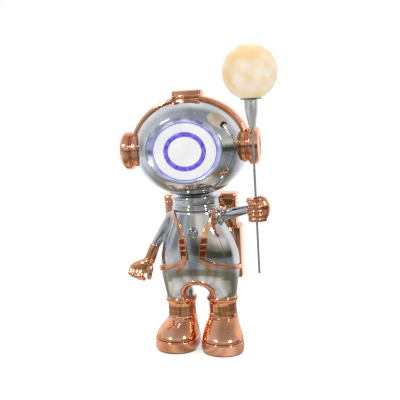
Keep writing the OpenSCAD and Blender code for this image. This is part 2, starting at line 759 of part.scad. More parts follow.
// Points along the thumb, from the staff's axis at the fist's middle height
thumb_path = [[-12, 24, 30], [-25, 2, 33], [-19, -20, 30], [-6, -31, 23]];
function finger_path(z, bend) = [for (a = [0 : 14 : 196]) [bend * cos(a + 8), -bend * sin(a + 8), z]];
palm_mid = [18, 6, 2];
palm_half = [33, 30, 47];
module palm() {
    loft([for (a = [-78 : 12 : 78])
        ellipse_ring(palm_mid[0], palm_mid[1], palm_mid[2] + palm_half[2] * sin(a), palm_half[0] * cos(a),
            palm_half[1] * cos(a), 32)]);
}
wrist_len = 36;
module fist_left() {
    low = finger_r + 1 - fist_h / 2;
    hand_dir = unit(left_wrist - left_shoulder);
    difference() {
        union() {
            at_staff(fist_z) {
                for (k = [0 : 3])
                    limb(finger_path(low + k * finger_pitch, finger_bend - 2 + 2 * sin(60 * k)), finger_r);
                limb(thumb_path, finger_r + 1.5);
                palm();
                translate([0, 0, 6 - fist_h / 2]) cylinder(h = fist_h - 12, r = finger_bend - 3);
            }
            leaning()
                bar(left_wrist + hand_dir * seat / 2, left_wrist + hand_dir * wrist_len, wrist_r + 1, wrist_r + 3);
        }
        at_staff(fist_z - fist_h) cylinder(h = 2 * fist_h, r = bush_r + running);
        leaning() arm_bar(left_shoulder, left_wrist, wrist_r, seat / 2);
    }
}

// Staff and moon
bush_proud = 1.5;
module grip_bush() {
    at_staff(fist_z - fist_h / 2 + 6 - bush_proud) difference() {
        cylinder(h = fist_h - 12 + 2 * bush_proud, r = bush_r);
        translate([0, 0, -cut]) cylinder(h = fist_h, r = staff_r + running);
    }
}
socket_depth = 30;
module staff_rod() {
    at_staff(staff_low) difference() {
        cylinder(h = holder_low + socket_depth - staff_low, r = staff_r);
        translate([0, 0, 3]) cylinder(h = big, r = staff_bore_r);
    }
}
module globe_holder() {
    rise = plate_z - holder_low;
    at_staff(holder_low) difference() {
        rotate_extrude() polygon(concat(
            [[0, 0], [holder_low_r - 1, 0]],
            [for (k = [0 : 10])
                [holder_low_r + (holder_r - holder_low_r) * sin(9 * k), 1 + (rise - 1) * k / 10]],
            [[0, rise]]));
        translate([0, 0, -cut]) cylinder(h = socket_depth + cut, r = staff_r + running);
        cylinder(h = rise + cut, r = staff_bore_r);
    }
}
module globe_plate() {
    at_staff(plate_z) difference() {
        rotate_extrude() polygon([[0, 0], [plate_r - 1, 0], [plate_r, 1], [plate_r, plate_t], [0, plate_t]]);
        translate([0, 0, -cut]) cylinder(h = plate_t + 2 * cut, r = staff_bore_r);
    }
}
globe_seat = sqrt(globe_r * globe_r - plate_r * plate_r);
globe_z = plate_z + plate_t + globe_seat;
module moon_globe() {
    at_staff(globe_z) difference() {
        sphere(globe_r);
        sphere(globe_r - globe_wall);
        translate([0, 0, -globe_seat - globe_r]) cylinder(h = globe_r, r = globe_r);
    }
}
lamp_r = 15;
lamp_h = 34;
module lamp_holder() {
    at_staff(plate_z + plate_t) rotate_extrude() polygon([
        [staff_bore_r, 0], [lamp_r + 6, 0], [lamp_r + 6, 3], [lamp_r, 5], [lamp_r, lamp_h], [staff_bore_r, lamp_h]]);
}
module led_bulb() {
    bulb_r = 20;
    at_staff(plate_z + plate_t + lamp_h) union() {
        cylinder(h = 16, r1 = lamp_r - 1, r2 = lamp_r + 2);
        translate([0, 0, 30]) sphere(bulb_r);
    }
}

// Backpack: hollow sections cut to the torso and the collar
module soft_box(x, y0, y1, z0, z1) {
    r = pack_round;
    hull() for (sx = [-1, 1], y = [y0 + r, y1 - r], z = [z0 + r, z1 - r])
        translate([sx * (x - r), y, z]) sphere(r, $fn = 24);
}
module cut_to_back(gap) {
    difference() {
        children();
        torso_form(gap);
        translate([0, 0, neck_z]) cylinder(h = big, r = collar_r + gap);
    }
}
// The slice of a section between two heights
module slice(z0, z1) {
    intersection() {
        children();
        translate([-big / 2, 0, z0]) cube([big, big, z1 - z0]);
    }
}
module hollow_room(x, y1, z0, z1) {
    translate([wall - x, pack_front + wall, z0]) cube([2 * (x - wall), y1 - pack_front - 2 * wall, z1 - z0]);
}
pack_top = neck_z + pack_rise;
lid_z = pack_top - lid_h;
module backpack_shell() {
    leaning() difference() {
        cut_to_back(seat) slice(pack_step, lid_z)
            soft_box(pack_half_w, pack_front, pack_back, pack_step - pack_round, pack_top);
        cut_to_back(wall) hollow_room(pack_half_w, pack_back, pack_step - cut, lid_z + cut);
    }
}
module backpack_lid() {
    leaning() cut_to_back(seat) slice(lid_z + seat / 2, pack_top)
        soft_box(pack_half_w + 2, pack_front - 2, pack_back + 2, pack_step, pack_top);
}
module backpack_pocket() {
    leaning() difference() {
        cut_to_back(seat) slice(0, pack_step - seat / 2)
            soft_box(pocket_half_w, pack_front, pocket_back, pack_low, pack_step + pack_round);
        cut_to_back(wall) hollow_room(pocket_half_w, pocket_back, pack_low + wall, pack_step);
    }
}
// The light driver stands on the floor of the lower section, against its back wall
driver_size = [120, 24, 42];
module led_driver() {
    leaning() translate([-driver_size[0] / 2, pocket_back - wall - driver_size[1] - seat / 2, pack_low + wall + seat / 2])
        cube(driver_size);
}

color(copper) boot_sole(1);  // boot_sole_left
color(copper) boot_sole(-1);  // boot_sole_right
color(copper) boot_upper(1);  // boot_left
color(copper) boot_upper(-1);  // boot_right
color("#2b2b2b") sole_pad(1);  // sole_pad_left
color("#2b2b2b") sole_pad(-1);  // sole_pad_right
color("dimgray") ballast(1);  // ballast_left
color("dimgray") ballast(-1);  // ballast_right
color("gray") boot_bolts();
color("#2b2b2b") cord_grommet();
color(chrome) torso_shell();
color(copper) arch_trim();
color(copper) shoulder_strap(1);  // shoulder_strap_left
color(copper) shoulder_strap(-1);  // shoulder_strap_right
color(copper) waist_strap(1);  // waist_strap_left
color(copper) waist_strap(-1);  // waist_strap_right
color(copper) buckle(1);  // buckle_left
color(copper) buckle(-1);  // buckle_right
color(chrome) switch_bezel();
color(chrome) switch_button();
color("#2b2b2b") switch_body();
color(chrome) helmet_shell();
color(chrome) visor_bezel();
color("white") visor_diffuser();
color("#7b6be0") visor_light_ring();
color("white") visor_center();
color("seagreen") visor_board();
color("whitesmoke") visor_pan();
color(copper) headband();
color(copper) headband_block();
color(copper) ear_flange(1);  // ear_flange_left
color(copper) ear_flange(-1);  // ear_flange_right
color(copper) ear_cup(1);  // ear_cup_left
color(copper) ear_cup(-1);  // ear_cup_right
color(chrome) neck_collar();
color(chrome) arm_left();
color(chrome) arm_right();
color(copper) cuff_right();
color(copper) wrist_band_right();
color(copper) glove_right();
color(copper) fist_left();
color("#2b2b2b") grip_bush();
color("gray") staff_rod();
color(chrome) globe_holder();
color("#4a4a3c") globe_plate();
color("#f4e0b8") moon_globe();
color("white") lamp_holder();
color("ivory") led_bulb();
color(copper) backpack_shell();
color(copper) backpack_lid();
color(copper) backpack_pocket();
color("dimgray") led_driver();
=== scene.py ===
import math

import bmesh
import bpy
import numpy as np
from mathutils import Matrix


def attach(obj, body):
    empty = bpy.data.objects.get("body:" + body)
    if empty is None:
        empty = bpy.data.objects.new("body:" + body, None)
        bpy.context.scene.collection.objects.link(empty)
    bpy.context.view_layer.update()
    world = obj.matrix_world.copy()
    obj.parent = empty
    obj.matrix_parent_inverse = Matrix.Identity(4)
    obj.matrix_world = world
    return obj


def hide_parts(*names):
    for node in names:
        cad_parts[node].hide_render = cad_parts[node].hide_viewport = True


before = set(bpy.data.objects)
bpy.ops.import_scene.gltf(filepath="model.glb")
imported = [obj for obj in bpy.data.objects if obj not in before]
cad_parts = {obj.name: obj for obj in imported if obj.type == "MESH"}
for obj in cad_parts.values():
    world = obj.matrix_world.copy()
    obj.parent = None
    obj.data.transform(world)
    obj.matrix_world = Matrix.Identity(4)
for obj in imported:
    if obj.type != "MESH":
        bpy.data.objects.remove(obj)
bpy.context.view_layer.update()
scene = bpy.context.scene

# Frames: the boots stand square, everything above leans sideways
LEAN = math.radians(3.4)
LEAN_Z = 190.0
AXIS_Y = 32.0
ANKLE_X = 82.0
TOE_OUT = math.radians(12)
HEAD = np.array([0.0, -35.0, 791.0])
STAFF = np.array([249.0, -130.0, 0.0])
FIST_Z = 561.0


def standing(p):
    """The frame of the boots."""
    return np.asarray(p, float) + [0, AXIS_Y, 0]


def leaning(p):
    """The frame of everything above the boots."""
    x, y, z = np.moveaxis(np.asarray(p, float), -1, 0)
    z = z - LEAN_Z
    return np.stack((x * math.cos(LEAN) - z * math.sin(LEAN), y + AXIS_Y,
                     LEAN_Z + x * math.sin(LEAN) + z * math.cos(LEAN)), -1)


def at_head(p):
    return leaning(np.asarray(p, float) + HEAD)


def at_staff(p):
    return leaning(np.asarray(p, float) + STAFF)


def at_fist(p):
    return at_staff(np.asarray(p, float) + [0, 0, FIST_Z])


def at_boot(side):
    """The place of one foot: to the side, with the toes turned out."""
    def place(p):
        x, y, z = np.moveaxis(np.asarray(p, float), -1, 0)
        c, s = math.cos(TOE_OUT), side * math.sin(TOE_OUT)
        return standing(np.stack((side * ANKLE_X + x * c - y * s, x * s + y * c, z), -1))
    return place


# Materials
def linear(code):
    """An sRGB hex colour as linear red, green, blue and alpha."""
    parts = [int(code[i:i + 2], 16) / 255 for i in (1, 3, 5)]
    return tuple(c / 12.92 if c <= 0.04045 else ((c + 0.055) / 1.055) ** 2.4 for c in parts) + (1.0,)


def feed(node, **links):
    """Links other nodes' outputs to the named sockets of a node."""
    for key, (source, output) in links.items():
        node.id_data.links.new(source.outputs[output], node.inputs[key.replace("_", " ")])


def add(tree, kind, settings, **links):
    """Adds a node; a setting names a property, a socket or the stops of a ramp, a link names a socket."""
    made = tree.nodes.new(kind)
    for key, value in settings.items():
        if key == "stops":
            elements = made.color_ramp.elements
            while len(elements) < len(value):
                elements.new(0.5)
            for element, (spot, colour) in zip(elements, value):
                element.position = spot
                element.color = colour
        elif isinstance(key, str) and hasattr(made, key):
            setattr(made, key, value)
        else:
            made.inputs[key].default_value = value
    feed(made, **links)
    return made


def shades(tree, where, size_mm, detail, stops):
    """Cloudy variation with patches of a real size, as a colour ramp."""
    cloud = add(tree, "ShaderNodeTexNoise", {"Scale": 1000 / size_mm, "Detail": detail},
                Vector=(where, "Object"))
    return add(tree, "ShaderNodeValToRGB", {"stops": stops}, Fac=(cloud, "Fac"))


def relief(tree, where, size_mm, detail, strength, depth_mm):
    """Fine waves or pits of a real size and depth, as a change of the surface's facing."""
    ground = add(tree, "ShaderNodeTexNoise", {"Scale": 1000 / size_mm, "Detail": detail},
                 Vector=(where, "Object"))
    return add(tree, "ShaderNodeBump", {"Strength": strength, "Distance": depth_mm / 1000},
               Height=(ground, "Fac"))


def grey(v):
    return (v, v, v, 1.0)


def started(name):
    """A new material with its node tree and the shader in it."""
    mat = bpy.data.materials.new(name)
    mat.use_nodes = True
    return mat, mat.node_tree, mat.node_tree.nodes["Principled BSDF"]


def plated(name, dark, light, rough, wave_mm, wave):
    """Bright plating on cast resin: mirror gloss, slightly wavy, faintly hazed where it is handled."""
    mat, tree, shader = started(name)
    shader.inputs["Metallic"].default_value = 1.0
    where = add(tree, "ShaderNodeTexCoord", {})
    tone = shades(tree, where, 90, 3, [(0.35, linear(dark)), (0.65, linear(light))])
    haze = shades(tree, where, 35, 4, [(0.3, grey(rough)), (0.75, grey(rough * 2.0))])
    swell = relief(tree, where, wave_mm, 1.0, 1.0, wave)
    feed(shader, Base_Color=(tone, "Color"), Roughness=(haze, "Color"), Normal=(swell, "Normal"))
    return mat


def painted_glow(name, dark, light, blue, pale, share):
    """Plating beside a light guide: the mirror with painted patches of the guide's blue light glowing on
    it.
    """
    mat = plated(name, dark, light, 0.05, 70, 0.5)
    tree = mat.node_tree
    shader = tree.nodes["Principled BSDF"]
    where = add(tree, "ShaderNodeTexCoord", {})
    # Painted reflection: blue and pale patches that glow on the plating
    painted_spill = shades(tree, where, 45, 2, [(0.4, linear(blue)), (0.62, linear(pale))])
    feed(shader, Emission_Color=(painted_spill, "Color"))
    shader.inputs["Emission Strength"].default_value = share
    return mat


def moulded(name, dark, light, rough, patch_mm, metallic=0.0, grain_mm=2.0, grain=0.05):
    """Moulded or drawn stock: an even colour with slight patches and a grain, coarser than real to show."""
    mat, tree, shader = started(name)
    shader.inputs["Metallic"].default_value = metallic
    where = add(tree, "ShaderNodeTexCoord", {})
    tone = shades(tree, where, patch_mm, 3, [(0.3, linear(dark)), (0.7, linear(light))])
    haze = shades(tree, where, patch_mm / 3, 3, [(0.3, grey(rough * 0.8)), (0.7, grey(rough * 1.2))])
    pits = relief(tree, where, grain_mm, 3.0, 0.4, grain)
    feed(shader, Base_Color=(tone, "Color"), Roughness=(haze, "Color"), Normal=(pits, "Normal"))
    return mat


def lit(name, dark, light, glow, patch_mm, rough=0.35, spots=(0.35, 0.7), grain_mm=2.5, grain=0.1):
    """A lit diffuser: the plastic itself glows, with the soft patches of the light behind it."""
    mat, tree, shader = started(name)
    where = add(tree, "ShaderNodeTexCoord", {})
    tone = shades(tree, where, patch_mm, 4, [(spots[0], linear(dark)), (spots[1], linear(light))])
    own = add(tree, "ShaderNodeMix",
              {"data_type": "RGBA", "blend_type": "MULTIPLY", "Factor": 1.0, "B": grey(1 - glow)},
              A=(tone, "Color"))
    pits = relief(tree, where, grain_mm, 3.0, 0.3, grain)
    haze = shades(tree, where, patch_mm, 2, [(0.3, grey(rough)), (0.7, grey(rough * 1.3))])
    feed(shader, Base_Color=(own, "Result"), Emission_Color=(tone, "Color"), Roughness=(haze, "Color"),
         Normal=(pits, "Normal"))
    shader.inputs["Emission Strength"].default_value = glow
    return mat


# Vacuum plated resin gives a mirror that is a little wavy and cool
silver = plated("plated_resin_silver", "#bfc1c5", "#d8dade", 0.035, 70, 0.5)
# The visor's plated border, with the blue light of the guide at the disc's edge painted on it as a patchy
# glow
bezel_painted_glow = painted_glow("plated_resin_silver_painted_glow", "#bfc1c5", "#d8dade", "#2f55c8", "#b9c3ea", 0.4)
# Copper plated resin: the same mirror, warm, a little softer
copper = plated("plated_resin_copper", "#e9a078", "#f3b896", 0.08, 40, 0.35)
# The same copper in the hollows of the buckles, darkened with painted shade, and duller
copper_painted_shade = plated("plated_resin_copper_painted_shade", "#7c3a20", "#98522f", 0.22, 20, 0.3)
# Opal acrylic over the visor lights, cast smooth: an even white glow with hardly any gloss
opal = lit("opal_acrylic", "#ececee", "#f7f7f7", 0.7, 60)
# Violet light guide ring, clear acrylic lit from its edge: a strong even colour, a little patchy
violet = lit("violet_light_guide", "#5644c4", "#8f80ee", 0.7, 14, rough=0.2)
# The globe plate: dark and partly metallic, with a dull shine
plate_dark_finish = moulded("dark_globe_plate", "#3a3a2e", "#55554a", 0.35, 20, metallic=0.6)
# Drawn steel tube of the staff: grey, with a soft sheen along it
steel = moulded("drawn_steel", "#a2a5a5", "#b9bcbc", 0.42, 30, metallic=1.0, grain_mm=1.0, grain=0.02)
# Turned and satin plated metal of the globe's holder: bright, with a soft sheen
satin_plate = moulded("satin_plated_metal", "#e2e2e0", "#f1f1ef", 0.4, 25, metallic=1.0, grain_mm=1.5,
                      grain=0.02)
# Black moulded rubber of pads, inlet and bush: matt, hardly any highlight
rubber = moulded("moulded_rubber", "#191919", "#262626", 0.6, 25)
# White moulded plastic of the lamp parts inside: even, with a half gloss
white_plastic = moulded("white_abs", "#dcdcda", "#eeeeec", 0.4, 40)
# Cast iron of the ballast: dark and rough as it leaves the sand
iron = moulded("cast_iron", "#2c2c2c", "#3d3b39", 0.7, 15, metallic=0.5, grain_mm=3.0, grain=0.2)
# Circuit board under green solder resist: glossy and even
board = moulded("circuit_board", "#14502f", "#1d6b40", 0.45, 10)
# Printed translucent plastic lit from inside: cream with pale highlands and warmer low ground
moon = lit("printed_translucent_plastic", "#f0cf99", "#f5e8d4", 0.6, 65, rough=0.6, spots=(0.36, 0.64))


# Forms
def lofted(rings, wrap=False):
    """Closed rings of points joined in a row; the ends are capped, or joined if wrap is set."""
    rings = np.asarray(rings, float)
    rows, columns = rings.shape[:2]
    i = np.arange(columns)
    j = (i + 1) % columns
    faces = []
    for a in range(rows if wrap else rows - 1):
        b = (a + 1) % rows
        faces += np.stack((a * columns + i, a * columns + j, b * columns + j, b * columns + i), 1).tolist()
    if not wrap:
        faces += [i[::-1].tolist(), (i + (rows - 1) * columns).tolist()]
    return rings.reshape(-1, 3), faces


def joined(*forms):
    """Several forms as one."""
    points = []
    faces = []
    count = 0
    for p, f in forms:
        points.append(p)
        faces += [[count + v for v in face] for face in f]
        count += len(p)
    return np.concatenate(points), faces


def turned(profile, n=96, wrap=False):
    """A form turned about z from (radius, height) points."""
    a = np.linspace(0, 2 * math.pi, n, endpoint=False)
    return lofted([np.stack((max(r, 0.02) * np.cos(a), max(r, 0.02) * np.sin(a), np.full(n, h)), 1)
                   for r, h in profile], wrap)


def smooth(t):
    """A share that eases from 0 to 1."""
    t = np.clip(t, 0, 1)
    return t * t * (3 - 2 * t)


def softened(points, radius, steps=4, wrap=False):
    """A line of points with its corners rounded."""
    pts = [np.array(p, float) for p in points]
    out = []
    for i, p in enumerate(pts):
        if not wrap and i in (0, len(pts) - 1):
            out.append(p)
            continue
        back = pts[i - 1] - p
        ahead = pts[(i + 1) % len(pts)] - p
        r = min(radius, 0.45 * np.linalg.norm(back), 0.45 * np.linalg.norm(ahead))
        start = p + back / np.linalg.norm(back) * r
        end = p + ahead / np.linalg.norm(ahead) * r
        for t in np.linspace(0, 1, steps + 1):
            out.append((1 - t) ** 2 * start + 2 * t * (1 - t) * p + t * t * end)
    return np.array(out)


def through(points, steps):
    """A smooth curve through all points but the first and the last, which only bend its ends."""
    out = []
    for i in range(1, len(points) - 2):
        a, b, c, d = points[i - 1:i + 3]
        for t in np.linspace(0, 1, steps, endpoint=False):
            out.append(0.5 * (2 * b + (c - a) * t + (2 * a - 5 * b + 4 * c - d) * t * t
                              + (3 * b - a - 3 * c + d) * t ** 3))
    return np.array(out + [points[-2]])


def eased(points, steps=24):
    """A smooth curve through a few points, straight at its ends."""
    points = np.asarray(points, float)
    return through(np.vstack((2 * points[0] - points[1], points, 2 * points[-1] - points[-2])), steps)


NUDGE = 0.2


def carved(field, low, high, step):
    """A closed mesh of the surface where field is 0, found on a grid in the box from low to high."""
    axes = [np.arange(a, b + step, step) for a, b in zip(low, high)]
    grid = np.stack(np.meshgrid(*axes, indexing="ij"), -1)
    inside = field(grid) < 0
    n = np.array(inside.shape) - 1
    corners = [inside[i:i + n[0], j:j + n[1], k:k + n[2]] for i in (0, 1) for j in (0, 1) for k in (0, 1)]
    count = np.sum(corners, 0)
    cells = (count > 0) & (count < 8)
    index = np.full(n, -1)
    index[cells] = np.arange(cells.sum())
    points = grid[:-1, :-1, :-1][cells] + step / 2
    quads = []
    for axis, (u, v) in enumerate(((1, 2), (2, 0), (0, 1))):
        ahead = np.take(inside, range(1, n[axis] + 1), axis)
        here = np.take(inside, range(n[axis]), axis)
        spots = np.argwhere(here != ahead)
        spots = spots[(spots[:, u] > 0) & (spots[:, v] > 0) & (spots[:, u] < n[u]) & (spots[:, v] < n[v])]
        ring = []
        for du, dv in ((-1, -1), (0, -1), (0, 0), (-1, 0)):
            cell = spots.copy()
            cell[:, u] += du
            cell[:, v] += dv
            ring.append(index[tuple(cell.T)])
        quad = np.stack(ring, 1)
        out = here[tuple(spots.T)]
        quads.append(np.where(out[:, None], quad, quad[:, ::-1]))
    quads = np.concatenate(quads)
    pairs = np.concatenate([quads[:, [k, (k + 1) % 4]] for k in range(4)])
    for turn in range(5):
        for repeat in range(3):
            value = field(points)
            change = [field(points + d) - field(points - d) for d in np.eye(3) * NUDGE]
            slope = np.stack(change, -1) / (2 * NUDGE)
            move = value[:, None] * slope / np.maximum((slope ** 2).sum(-1, keepdims=True), 0.05)
            points = points - np.clip(move, -step, step)
        if turn < 4:
            total = np.zeros_like(points)
            times = np.zeros(len(points))
            np.add.at(total, pairs[:, 0], points[pairs[:, 1]])
            np.add.at(times, pairs[:, 0], 1)
            points = points + 0.6 * (total / times[:, None] - points)
    return points, quads.tolist()


def piece(name, form, finish, nodes=None, body="figure", place=standing, crisp=40):
    """Makes one piece in metres, which stands for the node of its name or for the nodes given."""
    points, faces = form
    mesh = bpy.data.meshes.new(name)
    mesh.from_pydata((place(points) * 0.001).tolist(), [], faces)
    shape = bmesh.new()
    shape.from_mesh(mesh)
    bmesh.ops.recalc_face_normals(shape, faces=shape.faces)
    shape.to_mesh(mesh)
    shape.free()
    mesh.shade_smooth()
    mesh.set_sharp_from_angle(angle=math.radians(crisp))
    mesh.materials.append(finish)
    obj = bpy.data.objects.new(name, mesh)
    scene.collection.objects.link(obj)
    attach(obj, body)
    nodes = [name] if nodes is None else nodes
    if nodes:
        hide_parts(*nodes)


# Soft fields for the castings: negative inside, in millimetres
def melt(a, b, k):
    """The union of two fields with a fillet of about k."""
    h = np.maximum(k - np.abs(a - b), 0) / k
    return np.minimum(a, b) - h * h * k / 4


def trim(a, b, k):
    """The common part of two fields with a rounded edge."""
    return -melt(-a, -b, k)


def limb(p, a, b, ra, rb):
    """A round bar from a to b with a radius at each end."""
    a = np.asarray(a, float)
    run = np.asarray(b, float) - a
    t = np.clip(((p - a) @ run) / (run @ run), 0, 1)
    return np.linalg.norm(p - a - t[..., None] * run, axis=-1) - (ra + (rb - ra) * t)


def digit(p, spots, radii, fillets):
    """A thumb: bars from spot to spot, each melted into the one before."""
    form = limb(p, spots[0], spots[1], radii[0], radii[1])
    for k, fillet in enumerate(fillets, 1):
        form = melt(form, limb(p, spots[k], spots[k + 1], radii[k], radii[k + 1]), fillet)
    return form


def egg(p, centre, semi):
    """An ellipsoid."""
    q = (p - np.asarray(centre, float)) / semi
    k = np.linalg.norm(q, axis=-1)
    return k * (k - 1) / (np.linalg.norm(q / np.asarray(semi, float), axis=-1) + 1e-9)


# Torso
NECK_Z = 553.0
RIM_Z = 207.0
LEG_R = 55.0
THIGH_TALL = 75.0
THIGH_TOP = 285.0
ARCH_R = 46.0
ARCH_Z = 226.0
# Rings of the torso: height, half width, half depth
TORSO_RINGS = np.array([
    (207.3, 134, 52), (231, 141, 70), (261, 147, 94), (293, 153, 112), (335, 156, 120),
    (385, 152, 118), (445, 133, 109), (497, 109, 98), (553, 91, 86)], float)
CURVE = through(np.vstack((TORSO_RINGS[:1], TORSO_RINGS, TORSO_RINGS[-1:])), 16)


def torso_w(z):
    return np.interp(z, CURVE[:, 0], CURVE[:, 1])


def torso_d(z):
    return np.interp(z, CURVE[:, 0], CURVE[:, 2])


def skin(turn, z, out):
    """A point off the torso's surface; turn is 0 in front and grows to the figure's left, in radians."""
    turn, z, out = np.broadcast_arrays(np.asarray(turn, float), z, out)
    w, d = torso_w(z), torso_d(z)
    n = np.stack((np.sin(turn) / w, -np.cos(turn) / d), -1)
    n = n / np.linalg.norm(n, axis=-1, keepdims=True)
    return np.stack((w * np.sin(turn) + out * n[..., 0], -d * np.cos(turn) + out * n[..., 1], z), -1)


def torso_side(p):
    """The torso without its legs and without ends."""
    x, y, z = np.moveaxis(p, -1, 0)
    w, d = torso_w(z), torso_d(z)
    k = np.hypot(x / w, y / d)
    return k * (k - 1) / (np.hypot(x / w ** 2, y / d ** 2) + 1e-9)


def lower_body(p):
    """Belly and the fronts of the legs, before the arch is cut."""
    x, y, z = np.moveaxis(p, -1, 0)
    rise = np.clip(z - RIM_Z, 0, THIGH_TALL)
    thigh = np.hypot(np.abs(x) - ANKLE_X + 0.35 * rise, y) - LEG_R - 0.42 * rise
    return melt(torso_side(p), thigh + np.maximum(z - THIGH_TOP, 0), 12)


def torso_field(p):
    """The casting: belly with the arch cut out, legs that end in the boots, and a rounded top."""
    x, y, z = np.moveaxis(p, -1, 0)
    rise = np.maximum(z - RIM_Z, 0)
    leg = np.hypot(np.abs(x) - ANKLE_X, y) - LEG_R + 0.12 * rise + 0.004 * rise ** 2
    arch = np.where(z > ARCH_Z, np.hypot(x, z - ARCH_Z), np.abs(x)) - ARCH_R
    form = melt(trim(lower_body(p), -arch, 9), leg, 6)
    return np.maximum(trim(form, z - NECK_Z, 12), RIM_Z - 8 - z)


piece("torso", carved(torso_field, (-164, -130, 188), (164, 130, 560), 4.0), silver, ["torso_shell"],
      place=leaning, crisp=50)

# Arms: each melts into the torso, sunk a hair below its surface where it ends
SHOULDER_R = np.array([-103.0, -8, 520])
CUFF_R = np.array([-168.0, -30, 419])
WRIST_R = np.array([-189.0, -39, 366])
SHOULDER_L = np.array([102.0, -24, 526])
WRIST_L = np.array([224.0, -114, 561])


def arm_field(shoulder, wrist, r_end):
    """An arm with the swelling at its root, cut square at the wrist."""
    run = wrist - shoulder
    along = run / np.linalg.norm(run)

    def field(p):
        arm = limb(p, shoulder, wrist + along * 20, 22, r_end)
        form = melt(torso_side(p) + 0.5, arm, 26)
        reach = np.linalg.norm(p - shoulder - along * 30, axis=-1) - 74
        form = np.maximum(form, melt(reach, arm - 3, 1))
        return np.maximum(form, (p - wrist) @ along)
    return field


piece("arm_right", carved(arm_field(SHOULDER_R, CUFF_R, 16), (-200, -70, 400), (-40, 60, 570), 2.5), silver,
      place=leaning, crisp=50)
piece("arm_left", carved(arm_field(SHOULDER_L, WRIST_L, 15), (40, -150, 450), (245, 50, 600), 2.5), silver,
      place=leaning, crisp=50)


# Cuff and wrist band of the open hand: turned about the forearm
def along_line(start, end):
    """The place of a form turned about the line from start to end."""
    run = (end - start) / np.linalg.norm(end - start)
    u = np.cross([0, 1, 0], run)
    u = u / np.linalg.norm(u)
    v = np.cross(run, u)

    def place(p):
        p = np.asarray(p, float)
        return leaning(start + p[..., :1] * u + p[..., 1:2] * v + p[..., 2:] * run)
    return place


forearm = np.linalg.norm(WRIST_R - CUFF_R)
on_forearm = along_line(CUFF_R, WRIST_R)
BAND_END = 13.3
cuff_profile = [(0, 0.2), (19.5, 0.2), (20.5, 22), (21.5, forearm), (0, forearm)]
piece("cuff_right", turned(softened(cuff_profile, 2)), copper, place=on_forearm)
band_profile = [(0, 0.2), (20.5, 0.2), (22.5, 1.5), (22.5, 4.5), (20, 5.5), (20, 8), (22.5, 9), (22.5, 12),
                (20, BAND_END), (0, BAND_END)]
piece("wrist_band_right", turned([(r, forearm + h) for r, h in softened(band_profile, 1.2)]), copper,
      place=on_forearm)

# The open hand from the index to the small finger: knuckles, bends and tips, then the thumb
KNUCKLES = np.array([(-221, -52, 324), (-236, -53, 326), (-250, -51, 330), (-261, -46, 334)], float)
BENDS = np.array([(-226, -66, 301), (-241, -67, 303), (-256, -64, 307), (-268, -57, 313)], float)
TIPS = np.array([(-219, -48, 286), (-236, -46, 288), (-250, -44, 295), (-261, -40, 302)], float)
BACK_OF_HAND = np.array([(-222, -46, 344), (-244, -48, 339)], float)
THUMB_WEB = np.array([(-208, -50, 336), (-209, -54, 318)], float)
OPEN_THUMB = np.array([(-196, -46, 345), (-189, -54, 326), (-191, -60, 303), (-193, -59, 293)], float)
GLOVE_ROOT = WRIST_R + (WRIST_R - CUFF_R) / forearm * BAND_END


def glove_field(p):
    """The root of the hand, its back from wrist to knuckles, the web of the thumb, fingers and thumb."""
    form = limb(p, GLOVE_ROOT - [2, 0, -4], GLOVE_ROOT + [-8, -4, -8], 18.5, 17)
    for root in KNUCKLES:
        form = melt(form, limb(p, GLOVE_ROOT + [-6, -2, -4], root + [0, 4, 0], 17, 12.5), 9)
    form = melt(form, limb(p, *BACK_OF_HAND, 18, 16.5), 8)
    form = melt(form, limb(p, *THUMB_WEB, 13, 10), 6)
    for root, bend, tip in zip(KNUCKLES, BENDS, TIPS):
        finger = melt(limb(p, root, bend, 11, 10), limb(p, bend, tip, 9.8, 8.6), 3)
        form = melt(form, finger, 2)
    return melt(form, digit(p, OPEN_THUMB, (15, 12.5, 9.5, 9), (4, 3)), 5)


piece("glove_right", carved(glove_field, (-296, -84, 262), (-160, -12, 384), 2.0), copper, place=leaning)

# The fist round the staff
FINGER_R = 8.5
FINGER_Z = [-36.25 + k * 15.5 for k in range(4)]
CORE_R = 22.0
BUSH_BORE = 9.3
CLOSED_THUMB = np.array([(-12, 24, 30), (-25, 2, 33), (-19, -20, 30), (-6, -31, 23)], float)


def fist_field(p):
    """The back of the hand, the wrist, a core round the staff, four curled fingers and the thumb."""
    form = egg(p, (18, 6, 2), (33, 30, 47))
    wrist = WRIST_L - STAFF - [0, 0, FIST_Z]
    run = (WRIST_L - SHOULDER_L) / np.linalg.norm(WRIST_L - SHOULDER_L)
    form = melt(form, limb(p, wrist - run * 8, wrist + run * 36, 15.5, 18), 8)
    off_staff = np.hypot(p[..., 0], p[..., 1])
    form = melt(form, np.maximum(off_staff - CORE_R, np.abs(p[..., 2]) - 40), 3)
    for k, z in enumerate(FINGER_Z):
        bend = 23 + 2 * math.sin(math.radians(60 * k))
        turn = np.degrees(np.arctan2(-p[..., 1], p[..., 0])) % 360
        turn = np.radians(np.where(turn > 284, 8, np.clip(turn, 8, 200)))
        curl = np.stack((bend * np.cos(turn), -bend * np.sin(turn), np.full(turn.shape, z)), -1)
        finger = np.linalg.norm(p - curl, axis=-1) - FINGER_R
        root = np.array([bend, -0.14 * bend, z])
        finger = melt(finger, limb(p, root + [6, 2, 0], root + [-3, -7, 0], 10, 9.2), 1.5)
        form = melt(form, finger, 1.5)
    form = melt(form, digit(p, CLOSED_THUMB, (11, 10.5, 10, 9), (3, 3)), 2.5)
    form = np.maximum(form, (wrist - p) @ run + 0.3)
    return np.maximum(form, BUSH_BORE - off_staff)


piece("fist_left", carved(fist_field, (-60, -60, -60), (62, 60, 62), 1.6), copper, place=at_fist)

